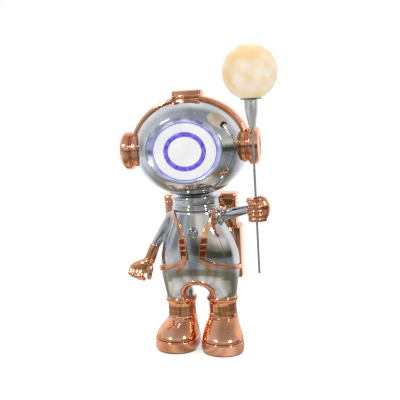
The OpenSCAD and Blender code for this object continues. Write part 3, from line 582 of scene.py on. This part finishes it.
# The bead round the front of the arch
BEAD_R = ARCH_R + 10
BEAD_HALF = 10.5
BEAD_PROUD = 9.0
BEAD_SUNK = 2.0
bead_angles = np.radians(np.linspace(0, 180, 61))
bead_bow = np.stack((BEAD_R * np.cos(bead_angles), ARCH_Z + BEAD_R * np.sin(bead_angles)), 1)
bead_path = np.concatenate(([(BEAD_R, RIM_Z + 1), (BEAD_R, RIM_Z + 10)], bead_bow,
                            [(-BEAD_R, RIM_Z + 10), (-BEAD_R, RIM_Z + 1)]))
bead_run = np.gradient(bead_path, axis=0)
bead_side = np.stack((bead_run[:, 1], -bead_run[:, 0]), 1) / np.linalg.norm(bead_run, axis=1, keepdims=True)
bead_round = np.radians(np.linspace(0, 180, 13))


def lower_front(x, z):
    """The point on the front of the belly and legs at x and z, and the way its surface faces."""
    near, far = np.full(np.shape(x), -130.0), np.zeros(np.shape(x))
    for _ in range(30):
        mid = (near + far) / 2
        outside = lower_body(np.stack((x, mid, z), -1)) > 0
        near, far = np.where(outside, mid, near), np.where(outside, far, mid)
    spot = np.stack((x, near, z), -1)
    slope = np.stack([lower_body(spot + d) - lower_body(spot - d) for d in np.eye(3) * 0.5], -1)
    return spot, slope / np.linalg.norm(slope, axis=-1, keepdims=True)


bead_rings = []
for spot, across in zip(bead_path, bead_side):
    flat = spot + across * BEAD_HALF * np.cos(bead_round)[:, None]
    base, outward = lower_front(flat[:, 0], flat[:, 1])
    bead_rings.append(base + outward.mean(axis=0) * (BEAD_PROUD * np.sin(bead_round) - BEAD_SUNK)[:, None])
piece("arch_trim", lofted(bead_rings), copper, place=leaning, crisp=60)


# Harness
def web(path, section, lift):
    """Webbing on the torso: path holds (turn, height) points, section holds (across, out) points."""
    path = np.asarray(path, float)
    half_width = torso_w(path[:, 1])
    run = np.gradient(np.stack((path[:, 0] * half_width, path[:, 1]), 1), axis=0)
    side = np.stack((run[:, 1], -run[:, 0]), 1) / np.linalg.norm(run, axis=1, keepdims=True)
    across, out = np.asarray(section, float).T
    rings = []
    for (turn, z), w, s in zip(path, half_width, side):
        rings.append(skin(turn + across * s[0] / w, z + across * s[1], lift + out))
    return lofted(rings)


def flat_band(width, thick):
    """The section of a strap or bar."""
    half = width / 2
    return softened([(half, 0), (half, thick), (-half, thick), (-half, 0)], 1.2, 3, wrap=True)


def on_front(x, z):
    """Turn and height of the spot on the chest at x and z."""
    return np.array([math.asin(x / torso_w(z)), z])


def front_line(side, points, steps=24):
    """A smooth line on the chest through points given by distance from the middle and height."""
    return eased([on_front(side * x, z) for x, z in points], steps)


STRAP = flat_band(17, 3.5)
TAIL = flat_band(20, 3.5)
ON_SKIN = 0.6
# The ladder buckle's middle line, then the height and the width of each rung
LADDER = [(34, 371), (36.5, 400), (40.5, 438), (43, 456)]
RUNGS = [(374, 5), (409, 4.5), (429, 8), (454, 5)]
for side, label in ((1, "left"), (-1, "right")):
    shoulder = front_line(side, [(83, 550), (65, 512), (48, 476), (43, 454)])
    piece("shoulder_strap_" + label, web(shoulder, STRAP, ON_SKIN), copper, place=leaning)
    in_front = [on_front(side * x, z) for x, z in ((26, 378), (45, 366), (74, 353), (106, 338))]
    waist = eased(in_front + [(side * turn, z) for turn, z in ((1.2, 328), (1.6, 321), (1.95, 318))])
    tail = front_line(side, [(36, 388), (38, 368), (50, 346), (69, 324)])
    strap = joined(web(waist, STRAP, ON_SKIN + 3), web(tail, TAIL, ON_SKIN))
    piece("waist_strap_" + label, strap, copper, place=leaning)
    # The floor of the buckle's windows, in copper darkened with painted shade
    hollow = web(front_line(side, LADDER), flat_band(25, 1.2), ON_SKIN)
    piece("buckle_floor_" + label, hollow, copper_painted_shade, nodes=[], place=leaning)
    bars = []
    for edge in (-11.5, 11.5):
        rail = front_line(side, [(x + edge, z) for x, z in LADDER])
        bars.append(web(rail, flat_band(4, 6.6), ON_SKIN))
    for z, tall in RUNGS:
        mid = np.interp(z, [p[1] for p in LADDER], [p[0] for p in LADDER])
        rung = front_line(side, [(mid + e, z) for e in (-12.5, 0, 12.5)], 6)
        bars.append(web(rung, flat_band(tall, 6.2), ON_SKIN + 0.2))
    piece("buckle_" + label, joined(*bars), copper, place=leaning)

# Chest switch: turned about a line into the chest
SWITCH_Z = 474.0
SWITCH_R = 19.0
SWITCH_FACE = torso_d(SWITCH_Z - SWITCH_R) + 0.3


def at_switch(p):
    """The place of a form turned about the switch's line."""
    x, y, z = np.moveaxis(np.asarray(p, float), -1, 0)
    return leaning(np.stack((x, z - SWITCH_FACE, SWITCH_Z - y), -1))


bezel_profile = [(11.3, 4), (11.3, -2.5), (14.5, -5), (17.2, -5), (SWITCH_R, -2.5), (21.5, 0.5), (21.5, 12)]
piece("switch_bezel", turned(softened(bezel_profile, 1.2)), silver, place=at_switch)
button_profile = [(0, -3), (11, -3), (11, -6), (9.5, -7.5), (6, -6.5), (0, -6)]
piece("switch_button", turned(softened(button_profile, 1.0)), silver, body="push_button", place=at_switch)

# Head
HELMET_W = 218.0
HELMET_H = 185.0
HELMET_WALL = 6.0
VISOR = 138.0
POLE = -math.pi / 2 + 0.004
ROUND = np.linspace(0, 2 * math.pi, 144, endpoint=False)


def oval_ring(y, half_w, half_h, drop=0.0):
    """An upright oval at one depth of the head."""
    return np.stack((half_w * np.cos(ROUND), np.full(len(ROUND), y), half_h * np.sin(ROUND) - drop), 1)


def egg_rings(inset, first, last, count):
    """Rings of the helmet's egg from one angle to another; the angle grows to the front."""
    w, h = HELMET_W - inset, HELMET_H - inset
    return [oval_ring(-h * math.sin(t), w * math.cos(t), h * math.cos(t))
            for t in np.linspace(first, last, count)]


front = math.asin(VISOR / HELMET_H)
rim_w = HELMET_W * math.cos(front)
rim_h = HELMET_H * math.cos(front)
lip = [oval_ring(-VISOR + depth, rim_w - inset, rim_h - inset)
       for depth, inset in ((3, 6.5), (0.2, 5.5), (-1.2, 3.5), (-1.0, 1.2))]
helmet_rings = egg_rings(0, front, POLE, 90)
room = egg_rings(HELMET_WALL, POLE, math.asin((VISOR - 8) / (HELMET_H - HELMET_WALL)), 40)
piece("helmet", lofted(lip + helmet_rings + room, wrap=True), silver, ["helmet_shell"], place=at_head)

DISC_W = 120.0
DISC_H = 106.8
DISC_DROP = 6.0
# Rings of the visor's dished border: depth, half width, half height, drop
bezel_sizes = [(-1.0, rim_w - 4.5, rim_h - 4.5, 0), (-1.4, rim_w - 6, rim_h - 6, 0),
               (-0.6, rim_w - 7.6, rim_h - 7.6, 0.3), (11, DISC_W + 1.2, DISC_H + 1.2, 5.8),
               (12.5, DISC_W, DISC_H, DISC_DROP), (15, DISC_W, DISC_H, DISC_DROP),
               (15, DISC_W + 9, DISC_H + 8, DISC_DROP), (6, rim_w - 5, rim_h - 5, 1)]
bezel_rings = [oval_ring(-VISOR + depth, w, h, drop) for depth, w, h, drop in bezel_sizes]
piece("visor_bezel", lofted(bezel_rings, wrap=True), bezel_painted_glow, place=at_head, crisp=50)


def oval_plate(depth, half_w, thick):
    """A shallow crowned oval plate with a rounded edge."""
    rows = [(thick, 1.0), (1.0, 1.0), (0.3, 0.997), (0.0, 0.985), (-0.6, 0.8), (-1.0, 0.5), (-1.2, 0.15)]
    half_h = half_w * DISC_H / DISC_W
    return lofted([oval_ring(-VISOR + depth + d, half_w * s, half_h * s, DISC_DROP) for d, s in rows])


def light_guide(depth, half_w, half_h, proud, reach):
    """A rounded oval ring let into the visor: proud in depth and reach to each side."""
    rings = []
    for a in np.linspace(0, 2 * math.pi, 17)[:-1]:
        y = -VISOR + depth - proud * math.sin(a)
        side = reach * math.cos(a)
        rings.append(oval_ring(y, half_w + side, half_h + side, DISC_DROP))
    return lofted(rings, wrap=True)


piece("visor_diffuser", oval_plate(15, 122.5, 4), opal, ["visor_diffuser", "visor_center"], place=at_head)
piece("visor_light_ring", light_guide(14.5, 71, 63.2, 3.5, 9), violet, place=at_head)
piece("visor_edge_light", light_guide(13.6, 118.6, 105.4, 1.2, 1.2), violet, nodes=[], place=at_head)

# Headband: a stepped rib from ear to ear that follows the helmet
BAND_Y = -10.0
BAND_REACH = 1.27


def on_helmet(angle, y, out):
    """A point off the helmet; angle is 0 at the top and grows to the figure's left."""
    angle, y, out = np.broadcast_arrays(np.asarray(angle, float), y, out)
    s = np.sqrt(1 - (y / HELMET_H) ** 2)
    p = np.stack((HELMET_W * s * np.sin(angle), y, HELMET_H * s * np.cos(angle)), -1)
    n = p / np.array([HELMET_W ** 2, HELMET_H ** 2, HELMET_H ** 2])
    return p + out[..., None] * n / np.linalg.norm(n, axis=-1, keepdims=True)


band_half = [(29, -2), (29, 7.2), (22.5, 8), (21, 13.2), (16, 14)]
band_section = softened(band_half + [(-y, h) for y, h in reversed(band_half)], 1.8, 3, wrap=True)
band_rings = [on_helmet(a, BAND_Y - band_section[:, 0], band_section[:, 1])
              for a in np.linspace(-BAND_REACH, BAND_REACH, 120)]
piece("headband", lofted(band_rings), copper, place=at_head, crisp=50)

# Block on the headband: two cheeks and a middle with a slot in its front
BLOCK_D = 38.0
BLOCK_LOW = 150.0
BLOCK_TOP = HELMET_H + 32
SLOT_D = 32.0
SLOT_TOP = 191.0
SLOT_LOW = 180.0
block_half = [(BLOCK_D, BLOCK_LOW), (BLOCK_D, BLOCK_TOP - 20), (26, BLOCK_TOP - 4), (18, BLOCK_TOP)]
block_outline = [(-BLOCK_D, BLOCK_LOW)] + block_half + [(-y, z) for y, z in block_half[:0:-1]]
slot = [(-BLOCK_D, SLOT_TOP), (-SLOT_D, SLOT_TOP), (-SLOT_D, SLOT_LOW), (-BLOCK_D, SLOT_LOW)]
slotted = block_outline + slot


def prism(outline, x0, x1):
    """A block with rounded long edges and eased ends."""
    line = softened(outline, 2.5, 4, wrap=True)
    away = line - line.mean(0)
    rings = []
    ends = ((0.0, 1.6), (0.4, 0.7), (1.4, 0.0))
    for x, shrink in [(x0 + d, s) for d, s in ends] + [(x1 - d, s) for d, s in reversed(ends)]:
        pulled = line - shrink * away / np.linalg.norm(away, axis=1, keepdims=True)
        rings.append(np.stack((np.full(len(line), x), BAND_Y + pulled[:, 0], pulled[:, 1]), 1))
    return lofted(rings)


block = joined(prism(block_outline, -54, -47), prism(slotted, -48, 48), prism(block_outline, 47, 54))
piece("headband_block", block, copper, place=at_head)

# Ears: a grooved flange and a dished cup, turned about the ear axis
EAR = 262.0
STEP = EAR - 37
FLANGE_R = 63.0
CUP_R = 72.0


def at_ear(side):
    """The place of a form turned about the ears' axis."""
    def place(p):
        x, y, z = np.moveaxis(np.asarray(p, float), -1, 0)
        return at_head(np.stack((side * z, BAND_Y + y, x), -1))
    return place


flange = [(0, 196), (FLANGE_R, 196), (FLANGE_R, STEP - 11), (FLANGE_R - 5.5, STEP - 9),
          (FLANGE_R - 5.5, STEP - 5), (FLANGE_R, STEP - 3.5), (FLANGE_R, STEP), (0, STEP)]
cup = [(0, STEP + 0.2), (CUP_R - 4, STEP + 0.2), (CUP_R, STEP + 4), (CUP_R, EAR - 13), (CUP_R - 4, EAR - 8),
       (CUP_R - 12, EAR), (CUP_R - 30, EAR), (CUP_R - 33, EAR - 3), (0, EAR - 3)]
for side, label in ((1, "left"), (-1, "right")):
    piece("ear_flange_" + label, turned(softened(flange, 1.5)), copper, place=at_ear(side))
    piece("ear_cup_" + label, turned(softened(cup, 3)), copper, place=at_ear(side))

# Collar: ringed below and above a plain band; radius and height over the neck
COLLAR = [(50, -6), (58, -6), (58, 0.3), (90, 0.3), (95, 3), (97, 7), (94, 10), (94, 13), (97, 16),
          (92, 20), (92, 42), (97, 45), (97, 50), (93, 53), (72, 55), (68, 84), (50, 84)]
collar_profile = softened([(r, NECK_Z + rise) for r, rise in COLLAR], 1.8, wrap=True)
piece("neck_collar", turned(collar_profile, wrap=True), silver, place=leaning)

# Boots
BALL = np.array([0.0, -48.0])
BALL_R = 84.0
HEEL = np.array([0.0, 14.0])
HEEL_R = 70.0
STEPS = np.linspace(0, 2 * math.pi, 120, endpoint=False)
OUTWARD = np.stack((np.cos(STEPS), np.sin(STEPS)), 1)


def sole_line(inset):
    """The outline of the foot: a wide ball and a narrower heel."""
    at_ball = BALL @ OUTWARD.T + BALL_R > HEEL @ OUTWARD.T + HEEL_R
    return np.where(at_ball[:, None], BALL + (BALL_R - inset) * OUTWARD, HEEL + (HEEL_R - inset) * OUTWARD)


def level(line, z):
    """A flat line raised to one height."""
    return np.column_stack((line, np.full(len(line), z)))


# Sole: height and inset of the outline, with a welt at its top
SOLE_RINGS = [(3, 12), (3, 8), (4.2, 4.5), (7, 2), (11, 1), (36, 0.6), (38.5, 0), (42, 0), (44.5, 1.2),
              (45.5, 4), (45.8, 20)]
# Upper: height and radius of the shaft, then of the rolled rim
BOOT_LOW = 46.0
ANKLE_TOP = 138.0
CREASE_Z = 124.0
SQUARE_TOP = 84.0
LEAN_RUN = 50.0
SHAFT = np.array([(46, 57), (110, 56.5), (132, 54.8), (150, 53.8), (172, 53.8), (180, 54.6), (184, 55.8)])
WELT_RISE = np.array([0, 0.2, 0.6, 1.2, 2, 3.2, 5])
BOOT_HEIGHTS = np.concatenate((BOOT_LOW + WELT_RISE, np.arange(54, 183.5, 1.5)))
RIM_ROLL = [(188, 57.4), (191, 59.6), (194, 61.2), (198.5, 62.2), (202.5, 61.6), (205.4, 59.8), (206.8, 57),
            (206.6, 54), (204.5, 51.8), (196, 51)]


def boot_ring(z):
    """The upper at one height: the foot flares out of the round shaft, with a crease over the instep."""
    share = smooth((z - BOOT_LOW) / (ANKLE_TOP - BOOT_LOW))
    inset = 3.8 + 8.2 * math.exp(-(z - BOOT_LOW) / 1.2)
    crease = 2.2 * math.exp(-((z - CREASE_Z) / 1.8) ** 2) * np.clip(-1.6 * OUTWARD[:, 1:], 0, 1)
    shaft = (np.interp(z, SHAFT[:, 0], SHAFT[:, 1]) - crease) * OUTWARD
    return level((1 - share) * sole_line(inset) + share * shaft, z)


def up_leg(side):
    """The foot stands square and the shaft leans with the leg."""
    foot = at_boot(side)

    def place(p):
        p = np.asarray(p, float)
        share = smooth((p[..., 2:] - SQUARE_TOP) / LEAN_RUN)
        return (1 - share) * foot(p) + share * leaning(p + [side * ANKLE_X, 0, 0])
    return place


boot = lofted([boot_ring(z) for z in BOOT_HEIGHTS] + [level(r * OUTWARD, z) for z, r in RIM_ROLL])
boot_sole = lofted([level(sole_line(inset), z) for z, inset in SOLE_RINGS])
for side, label in ((1, "left"), (-1, "right")):
    piece("boot_" + label, boot, copper, place=up_leg(side), crisp=60)
    piece("boot_sole_" + label, boot_sole, copper, place=at_boot(side), crisp=50)

# Staff: tube, holder, plate and moon
ROD_R = 4.0
ROD_LOW = 322.0
ROD_TOP = 880.0
HOLDER_LOW = 859.0
HOLDER_TOP = 960.8
HOLDER_R = 12.0
FLARE = 12.5
PLATE_LOW = 961.0
PLATE_TOP = 965.2
PLATE_R = 38.0
GLOBE_Z = 1058.0
GLOBE_R = 99.2
GLOBE_FLAT = -92.3
rod = softened([(0, ROD_LOW), (ROD_R, ROD_LOW), (ROD_R, ROD_TOP), (0, ROD_TOP)], 1.2)
piece("staff_rod", turned(rod, 32), steel, body="staff", place=at_staff)
horn = [(HOLDER_R + FLARE * math.sin(t * math.pi / 2), HOLDER_LOW + 2 + 99 * t)
        for t in np.linspace(0, 1, 24)[1:]]
holder = [(0, HOLDER_LOW), (HOLDER_R - 1, HOLDER_LOW), (HOLDER_R, HOLDER_LOW + 1)] + horn
holder += [(HOLDER_R + FLARE, HOLDER_TOP), (0, HOLDER_TOP)]
piece("globe_holder", turned(holder, 64), satin_plate, body="staff", place=at_staff)
plate = [(0, PLATE_LOW), (PLATE_R - 1, PLATE_LOW), (PLATE_R, PLATE_LOW + 1), (PLATE_R, PLATE_TOP),
         (0, PLATE_TOP)]
piece("globe_plate", turned(softened(plate, 0.8), 80), plate_dark_finish, body="staff", place=at_staff)


def moon_form():
    """A ball with shallow craters and swells, flat where it meets the plate."""
    ball = bmesh.new()
    bmesh.ops.create_icosphere(ball, subdivisions=6, radius=1.0)
    points = np.array([v.co for v in ball.verts])
    faces = [[v.index for v in f.verts] for f in ball.faces]
    ball.free()
    rng = np.random.default_rng(7)
    small = rng.uniform(0.05, 0.1, 130)
    large = rng.uniform(0.1, 0.24, 34)
    height = np.zeros(len(points))
    for size in np.concatenate((small, large)):
        centre = rng.normal(size=3)
        centre /= np.linalg.norm(centre)
        away = np.arccos(np.clip(points @ centre, -1, 1)) / size
        bowl = np.where(away < 1, (away ** 2 - 1) * 0.9, 0)
        wall = np.exp(-((away - 1.05) / 0.16) ** 2) * 0.5
        height += (bowl + wall) * size * 5.5
    points = points * (GLOBE_R + np.clip(height, -1.6, 0.75))[:, None]
    points[:, 2] = np.maximum(points[:, 2], GLOBE_FLAT)
    return points + [0, 0, GLOBE_Z], faces


piece("moon_globe", moon_form(), moon, body="staff", place=at_staff, crisp=70)

# Backpack: half width, front, back, bottom, top, rounding below and above
PACK_CORNER = 14.0
PACK = {"backpack_shell": (144, 60, 146, 470, 576, 1.5, 1.5),
        "backpack_lid": (146, 58, 148, 576.3, 600, 2.5, 10),
        "backpack_pocket": (156, 60, 166, 258, 469.8, 9, 9)}


def cushion(x_half, y0, y1, z0, z1, low_round, top_round):
    """A box with rounded upright edges and eased top and bottom edges."""
    quarter = np.linspace(0, math.pi / 2, 9)

    def outline(inset):
        out = []
        r = PACK_CORNER - inset
        for sx, sy, start in ((1, 1, 0), (-1, 1, 1), (-1, -1, 2), (1, -1, 3)):
            cx = sx * (x_half - PACK_CORNER)
            cy = y1 - PACK_CORNER if sy > 0 else y0 + PACK_CORNER
            for a in quarter + start * math.pi / 2:
                out.append((cx + r * math.cos(a), cy + r * math.sin(a)))
        return np.array(out)

    rows = [(z0 + low_round * (1 - math.cos(a)), low_round * (1 - math.sin(a))) for a in quarter[::2]]
    rows += [(z1 - top_round * (1 - math.cos(a)), top_round * (1 - math.sin(a))) for a in quarter[::-2]]
    return lofted([level(outline(inset), z) for z, inset in rows])


for name, sizes in PACK.items():
    piece(name, cushion(*sizes), copper, place=leaning)

# Solids that stay as the model has them
KEPT_SOLIDS = [
    (rubber, ("sole_pad_left", "sole_pad_right", "cord_grommet", "switch_body", "grip_bush")),
    (iron, ("ballast_left", "ballast_right")), (steel, ("boot_bolts",)), (board, ("visor_board",)),
    (white_plastic, ("visor_pan", "lamp_holder", "led_driver")), (opal, ("led_bulb",))]
for finish, names in KEPT_SOLIDS:
    for name in names:
        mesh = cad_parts[name].data
        mesh.materials.clear()
        mesh.materials.append(finish)


# Studio in metres: pale floor, white surround, soft lamps and tinted cards that only the plating mirrors
FLOOR_HALF = 6.0
DOME_R = 3.4
DOME_Z = 0.6
CARD_R = 3.3
CARD_BACK = 1.5


def staged(name, points, faces, mat, hidden=False):
    """Adds a thing of the studio; a hidden one shows only in reflections."""
    mesh = bpy.data.meshes.new(name)
    mesh.from_pydata([tuple(p) for p in points], [], faces)
    mesh.shade_smooth()
    mesh.materials.append(mat)
    obj = bpy.data.objects.new(name, mesh)
    scene.collection.objects.link(obj)
    if hidden:
        obj.visible_camera = False
        obj.visible_diffuse = False
        obj.visible_shadow = False
        obj.visible_transmission = False


def square(left, right, front, back, z):
    """The corners of a level card."""
    return [(left, front, z), (right, front, z), (right, back, z), (left, back, z)]


def seen_rays(tree):
    """1 for what the camera sees, straight or in metal and glass, and 0 for light that falls on things."""
    ray = add(tree, "ShaderNodeLightPath", {})
    mirrored = add(tree, "ShaderNodeMath", {"operation": "MAXIMUM"})
    tree.links.new(ray.outputs["Is Glossy Ray"], mirrored.inputs[0])
    tree.links.new(ray.outputs["Is Transmission Ray"], mirrored.inputs[1])
    seen = add(tree, "ShaderNodeMath", {"operation": "MAXIMUM"})
    tree.links.new(ray.outputs["Is Camera Ray"], seen.inputs[0])
    tree.links.new(mirrored.outputs[0], seen.inputs[1])
    return seen


def floor():
    """A matt painted floor: white to the camera and in the plating, with a soft shadow under the object."""
    mat, tree, shader = started("pale_floor")
    shader.inputs["Base Color"].default_value = grey(0.82)
    shader.inputs["Roughness"].default_value = 0.7
    shader.inputs["Emission Color"].default_value = grey(1)
    glow = add(tree, "ShaderNodeMath", {"operation": "MULTIPLY", 1: 0.5})
    tree.links.new(seen_rays(tree).outputs[0], glow.inputs[0])
    feed(shader, Emission_Strength=(glow, "Value"))
    staged("floor", square(-FLOOR_HALF, FLOOR_HALF, -FLOOR_HALF, FLOOR_HALF, -0.0005), [(0, 1, 2, 3)], mat)


def sky():
    """White all round to the camera, and dimmer as a light."""
    world = bpy.data.worlds.new("studio")
    scene.world = world
    world.use_nodes = True
    tree = world.node_tree
    tree.nodes.clear()
    strength = add(tree, "ShaderNodeMapRange", {"To Min": 0.55}, Value=(seen_rays(tree), "Value"))
    back = add(tree, "ShaderNodeBackground", {"Color": grey(1)}, Strength=(strength, "Result"))
    add(tree, "ShaderNodeOutputWorld", {}, Surface=(back, "Background"))


def card_tree(name):
    """An empty material for a glowing card that fades out at its edges."""
    mat = bpy.data.materials.new(name)
    mat.use_nodes = True
    mat.node_tree.nodes.clear()
    return mat, mat.node_tree


def fading_card(tree, colour, strength, fade):
    """Shows the card's light where fade is 1 and lets the white studio through where it is 0."""
    glow = add(tree, "ShaderNodeEmission", {}, Color=colour, Strength=strength)
    clear = add(tree, "ShaderNodeBsdfTransparent", {})
    both = add(tree, "ShaderNodeMixShader", {}, Fac=fade)
    tree.links.new(clear.outputs[0], both.inputs[1])
    tree.links.new(glow.outputs[0], both.inputs[2])
    add(tree, "ShaderNodeOutputMaterial", {}, Surface=(both, "Shader"))


def left_lift(tree, split, colour):
    """Makes a card paler towards the left, where the studio's window side is."""
    side = add(tree, "ShaderNodeMapRange", {"From Min": -0.4, "From Max": -2.2, "To Max": 0.7},
               Value=(split, "X"))
    return add(tree, "ShaderNodeMix", {"data_type": "RGBA", "B": linear("#e9edf3")},
               Factor=(side, "Result"), A=(colour, "Color"))


def surround():
    """Soft walls round the front of the object: dark at the horizon, bright above it, grey overhead."""
    mat, tree = card_tree("studio_surround")
    where = add(tree, "ShaderNodeNewGeometry", {})
    split = add(tree, "ShaderNodeSeparateXYZ", {}, Vector=(where, "Position"))
    height = add(tree, "ShaderNodeMapRange", {"From Min": 0.3, "From Max": 4.0}, Value=(split, "Z"))
    tones = [(0.0, "#8f938c"), (0.05, "#4f4f41"), (0.15, "#434334"), (0.24, "#958f80"), (0.32, "#e2dacc"),
             (0.5, "#d3cec9"), (0.75, "#b4b6ba"), (1.0, "#a8aab0")]
    walls = add(tree, "ShaderNodeValToRGB", {"stops": [(spot, linear(code)) for spot, code in tones]},
                Fac=(height, "Result"))
    # Folds about 1.1 m wide and 2.5 m tall
    drawn_up = add(tree, "ShaderNodeMapping", {"Scale": (0.9, 0.9, 0.4)}, Vector=(where, "Position"))
    folds = add(tree, "ShaderNodeTexNoise", {"Scale": 1.0, "Detail": 1.5}, Vector=(drawn_up, "Vector"))
    streaks = add(tree, "ShaderNodeMapRange",
                  {"From Min": 0.38, "From Max": 0.62, "To Min": 0.5, "To Max": 1.4}, Value=(folds, "Fac"))
    mid_height = add(tree, "ShaderNodeValToRGB",
                     {"stops": [(0.03, grey(0)), (0.1, grey(1)), (0.28, grey(1)), (0.42, grey(0))]},
                     Fac=(height, "Result"))
    strength = add(tree, "ShaderNodeMix", {"A": 0.95}, Factor=(mid_height, "Color"), B=(streaks, "Result"))
    fade = add(tree, "ShaderNodeMapRange", {"From Min": 1.6, "From Max": 0.6}, Value=(split, "Y"))
    fading_card(tree, (left_lift(tree, split, walls), "Result"), (strength, "Result"), (fade, "Result"))
    around = np.radians(np.linspace(0, 360, 97))
    rows = []
    for t in np.radians(np.linspace(-10, 89, 34)):
        wide = DOME_R * math.cos(t)
        tall = np.full(len(around), DOME_Z + DOME_R * math.sin(t))
        rows.append(np.stack((wide * np.cos(around), wide * np.sin(around), tall), 1))
    n = len(around)
    faces = [(a * n + i, a * n + i + 1, a * n + i + n + 1, a * n + i + n)
             for a in range(len(rows) - 1) for i in range(n - 1)]
    staged("surround", np.concatenate(rows), faces, mat, hidden=True)


def floor_card():
    """A card on the floor round the object, with painted shadow darkening its very middle, pale near it and
    grey farther out, seen only as reflections.
    """
    mat, tree = card_tree("floor_card")
    where = add(tree, "ShaderNodeNewGeometry", {})
    away = add(tree, "ShaderNodeVectorMath", {"operation": "LENGTH"}, Vector=(where, "Position"))
    reach = add(tree, "ShaderNodeMapRange", {"From Max": CARD_R}, Value=(away, "Value"))
    # The darker first tone at the middle is painted shadow under the object, which the card itself doesn't
    # catch
    tones = [(0.0, "#aaa69c"), (0.05, "#e2dcd4"), (0.075, "#ebe5de"), (0.125, "#e0d6c4"), (0.17, "#8f8b72"),
             (0.27, "#8e8c79"), (0.38, "#b4b6b8"), (0.6, "#b4b6bb"), (1.0, "#a3a5a6")]
    tone = add(tree, "ShaderNodeValToRGB", {"stops": [(spot, linear(code)) for spot, code in tones]},
               Fac=(reach, "Result"))
    bearing = add(tree, "ShaderNodeVectorMath", {"operation": "NORMALIZE"}, Vector=(where, "Position"))
    patches = add(tree, "ShaderNodeTexNoise", {"Scale": 2.2, "Detail": 0.5}, Vector=(bearing, "Vector"))
    strength = add(tree, "ShaderNodeMapRange",
                   {"From Min": 0.36, "From Max": 0.64, "To Min": 0.6, "To Max": 1.3},
                   Value=(patches, "Fac"))
    split = add(tree, "ShaderNodeSeparateXYZ", {}, Vector=(where, "Position"))
    fade = add(tree, "ShaderNodeMapRange", {"From Min": 1.4, "From Max": 0.4}, Value=(split, "Y"))
    fading_card(tree, (left_lift(tree, split, tone), "Result"), (strength, "Result"), (fade, "Result"))
    corners = square(-CARD_R, CARD_R, -CARD_R, CARD_BACK, 0.002)
    staged("floor_card", corners, [(0, 1, 2, 3)], mat, hidden=True)


floor()
sky()
surround()
floor_card()


def facing(place, aim):
    """The turn that points a lamp or the camera from its place at its aim."""
    way = np.array(aim) - np.array(place)
    way = way / np.linalg.norm(way)
    return math.acos(-way[2]), 0, math.atan2(way[1], way[0]) - math.pi / 2


def soft_lamp(name, place, aim, width, height, power):
    data = bpy.data.lights.new(name, "AREA")
    data.shape = "RECTANGLE"
    data.size = width
    data.size_y = height
    data.energy = power
    obj = bpy.data.objects.new(name, data)
    scene.collection.objects.link(obj)
    obj.location = place
    obj.rotation_euler = facing(place, aim)
    return obj


soft_lamp("key_lamp", (-1.5, -2.2, 2.3), (0, 0, 0.6), 0.35, 0.5, 22)
soft_lamp("side_lamp", (2.0, -1.4, 1.9), (0, 0, 0.6), 0.3, 0.6, 16)
top_lamp = soft_lamp("top_lamp", (0, 0.3, 3.0), (0, 0, 0), 1.6, 1.6, 30)
top_lamp.visible_glossy = False

# Camera: the photograph's own view, found from the size of the globe and the boots
SENSOR = 36.0
PHOTO_PX = 400
FOCAL_PX = 755
EYE = (0.545, -2.816, 1.0)
AIM = (-0.0084, 0.0309, 0.585)
camera_data = bpy.data.cameras.new("camera")
camera_data.sensor_width = SENSOR
camera_data.lens = SENSOR * FOCAL_PX / PHOTO_PX
camera = bpy.data.objects.new("camera", camera_data)
scene.collection.objects.link(camera)
camera.location = EYE
camera.rotation_euler = facing(EYE, AIM)
scene.camera = camera
scene.view_settings.view_transform = "Standard"
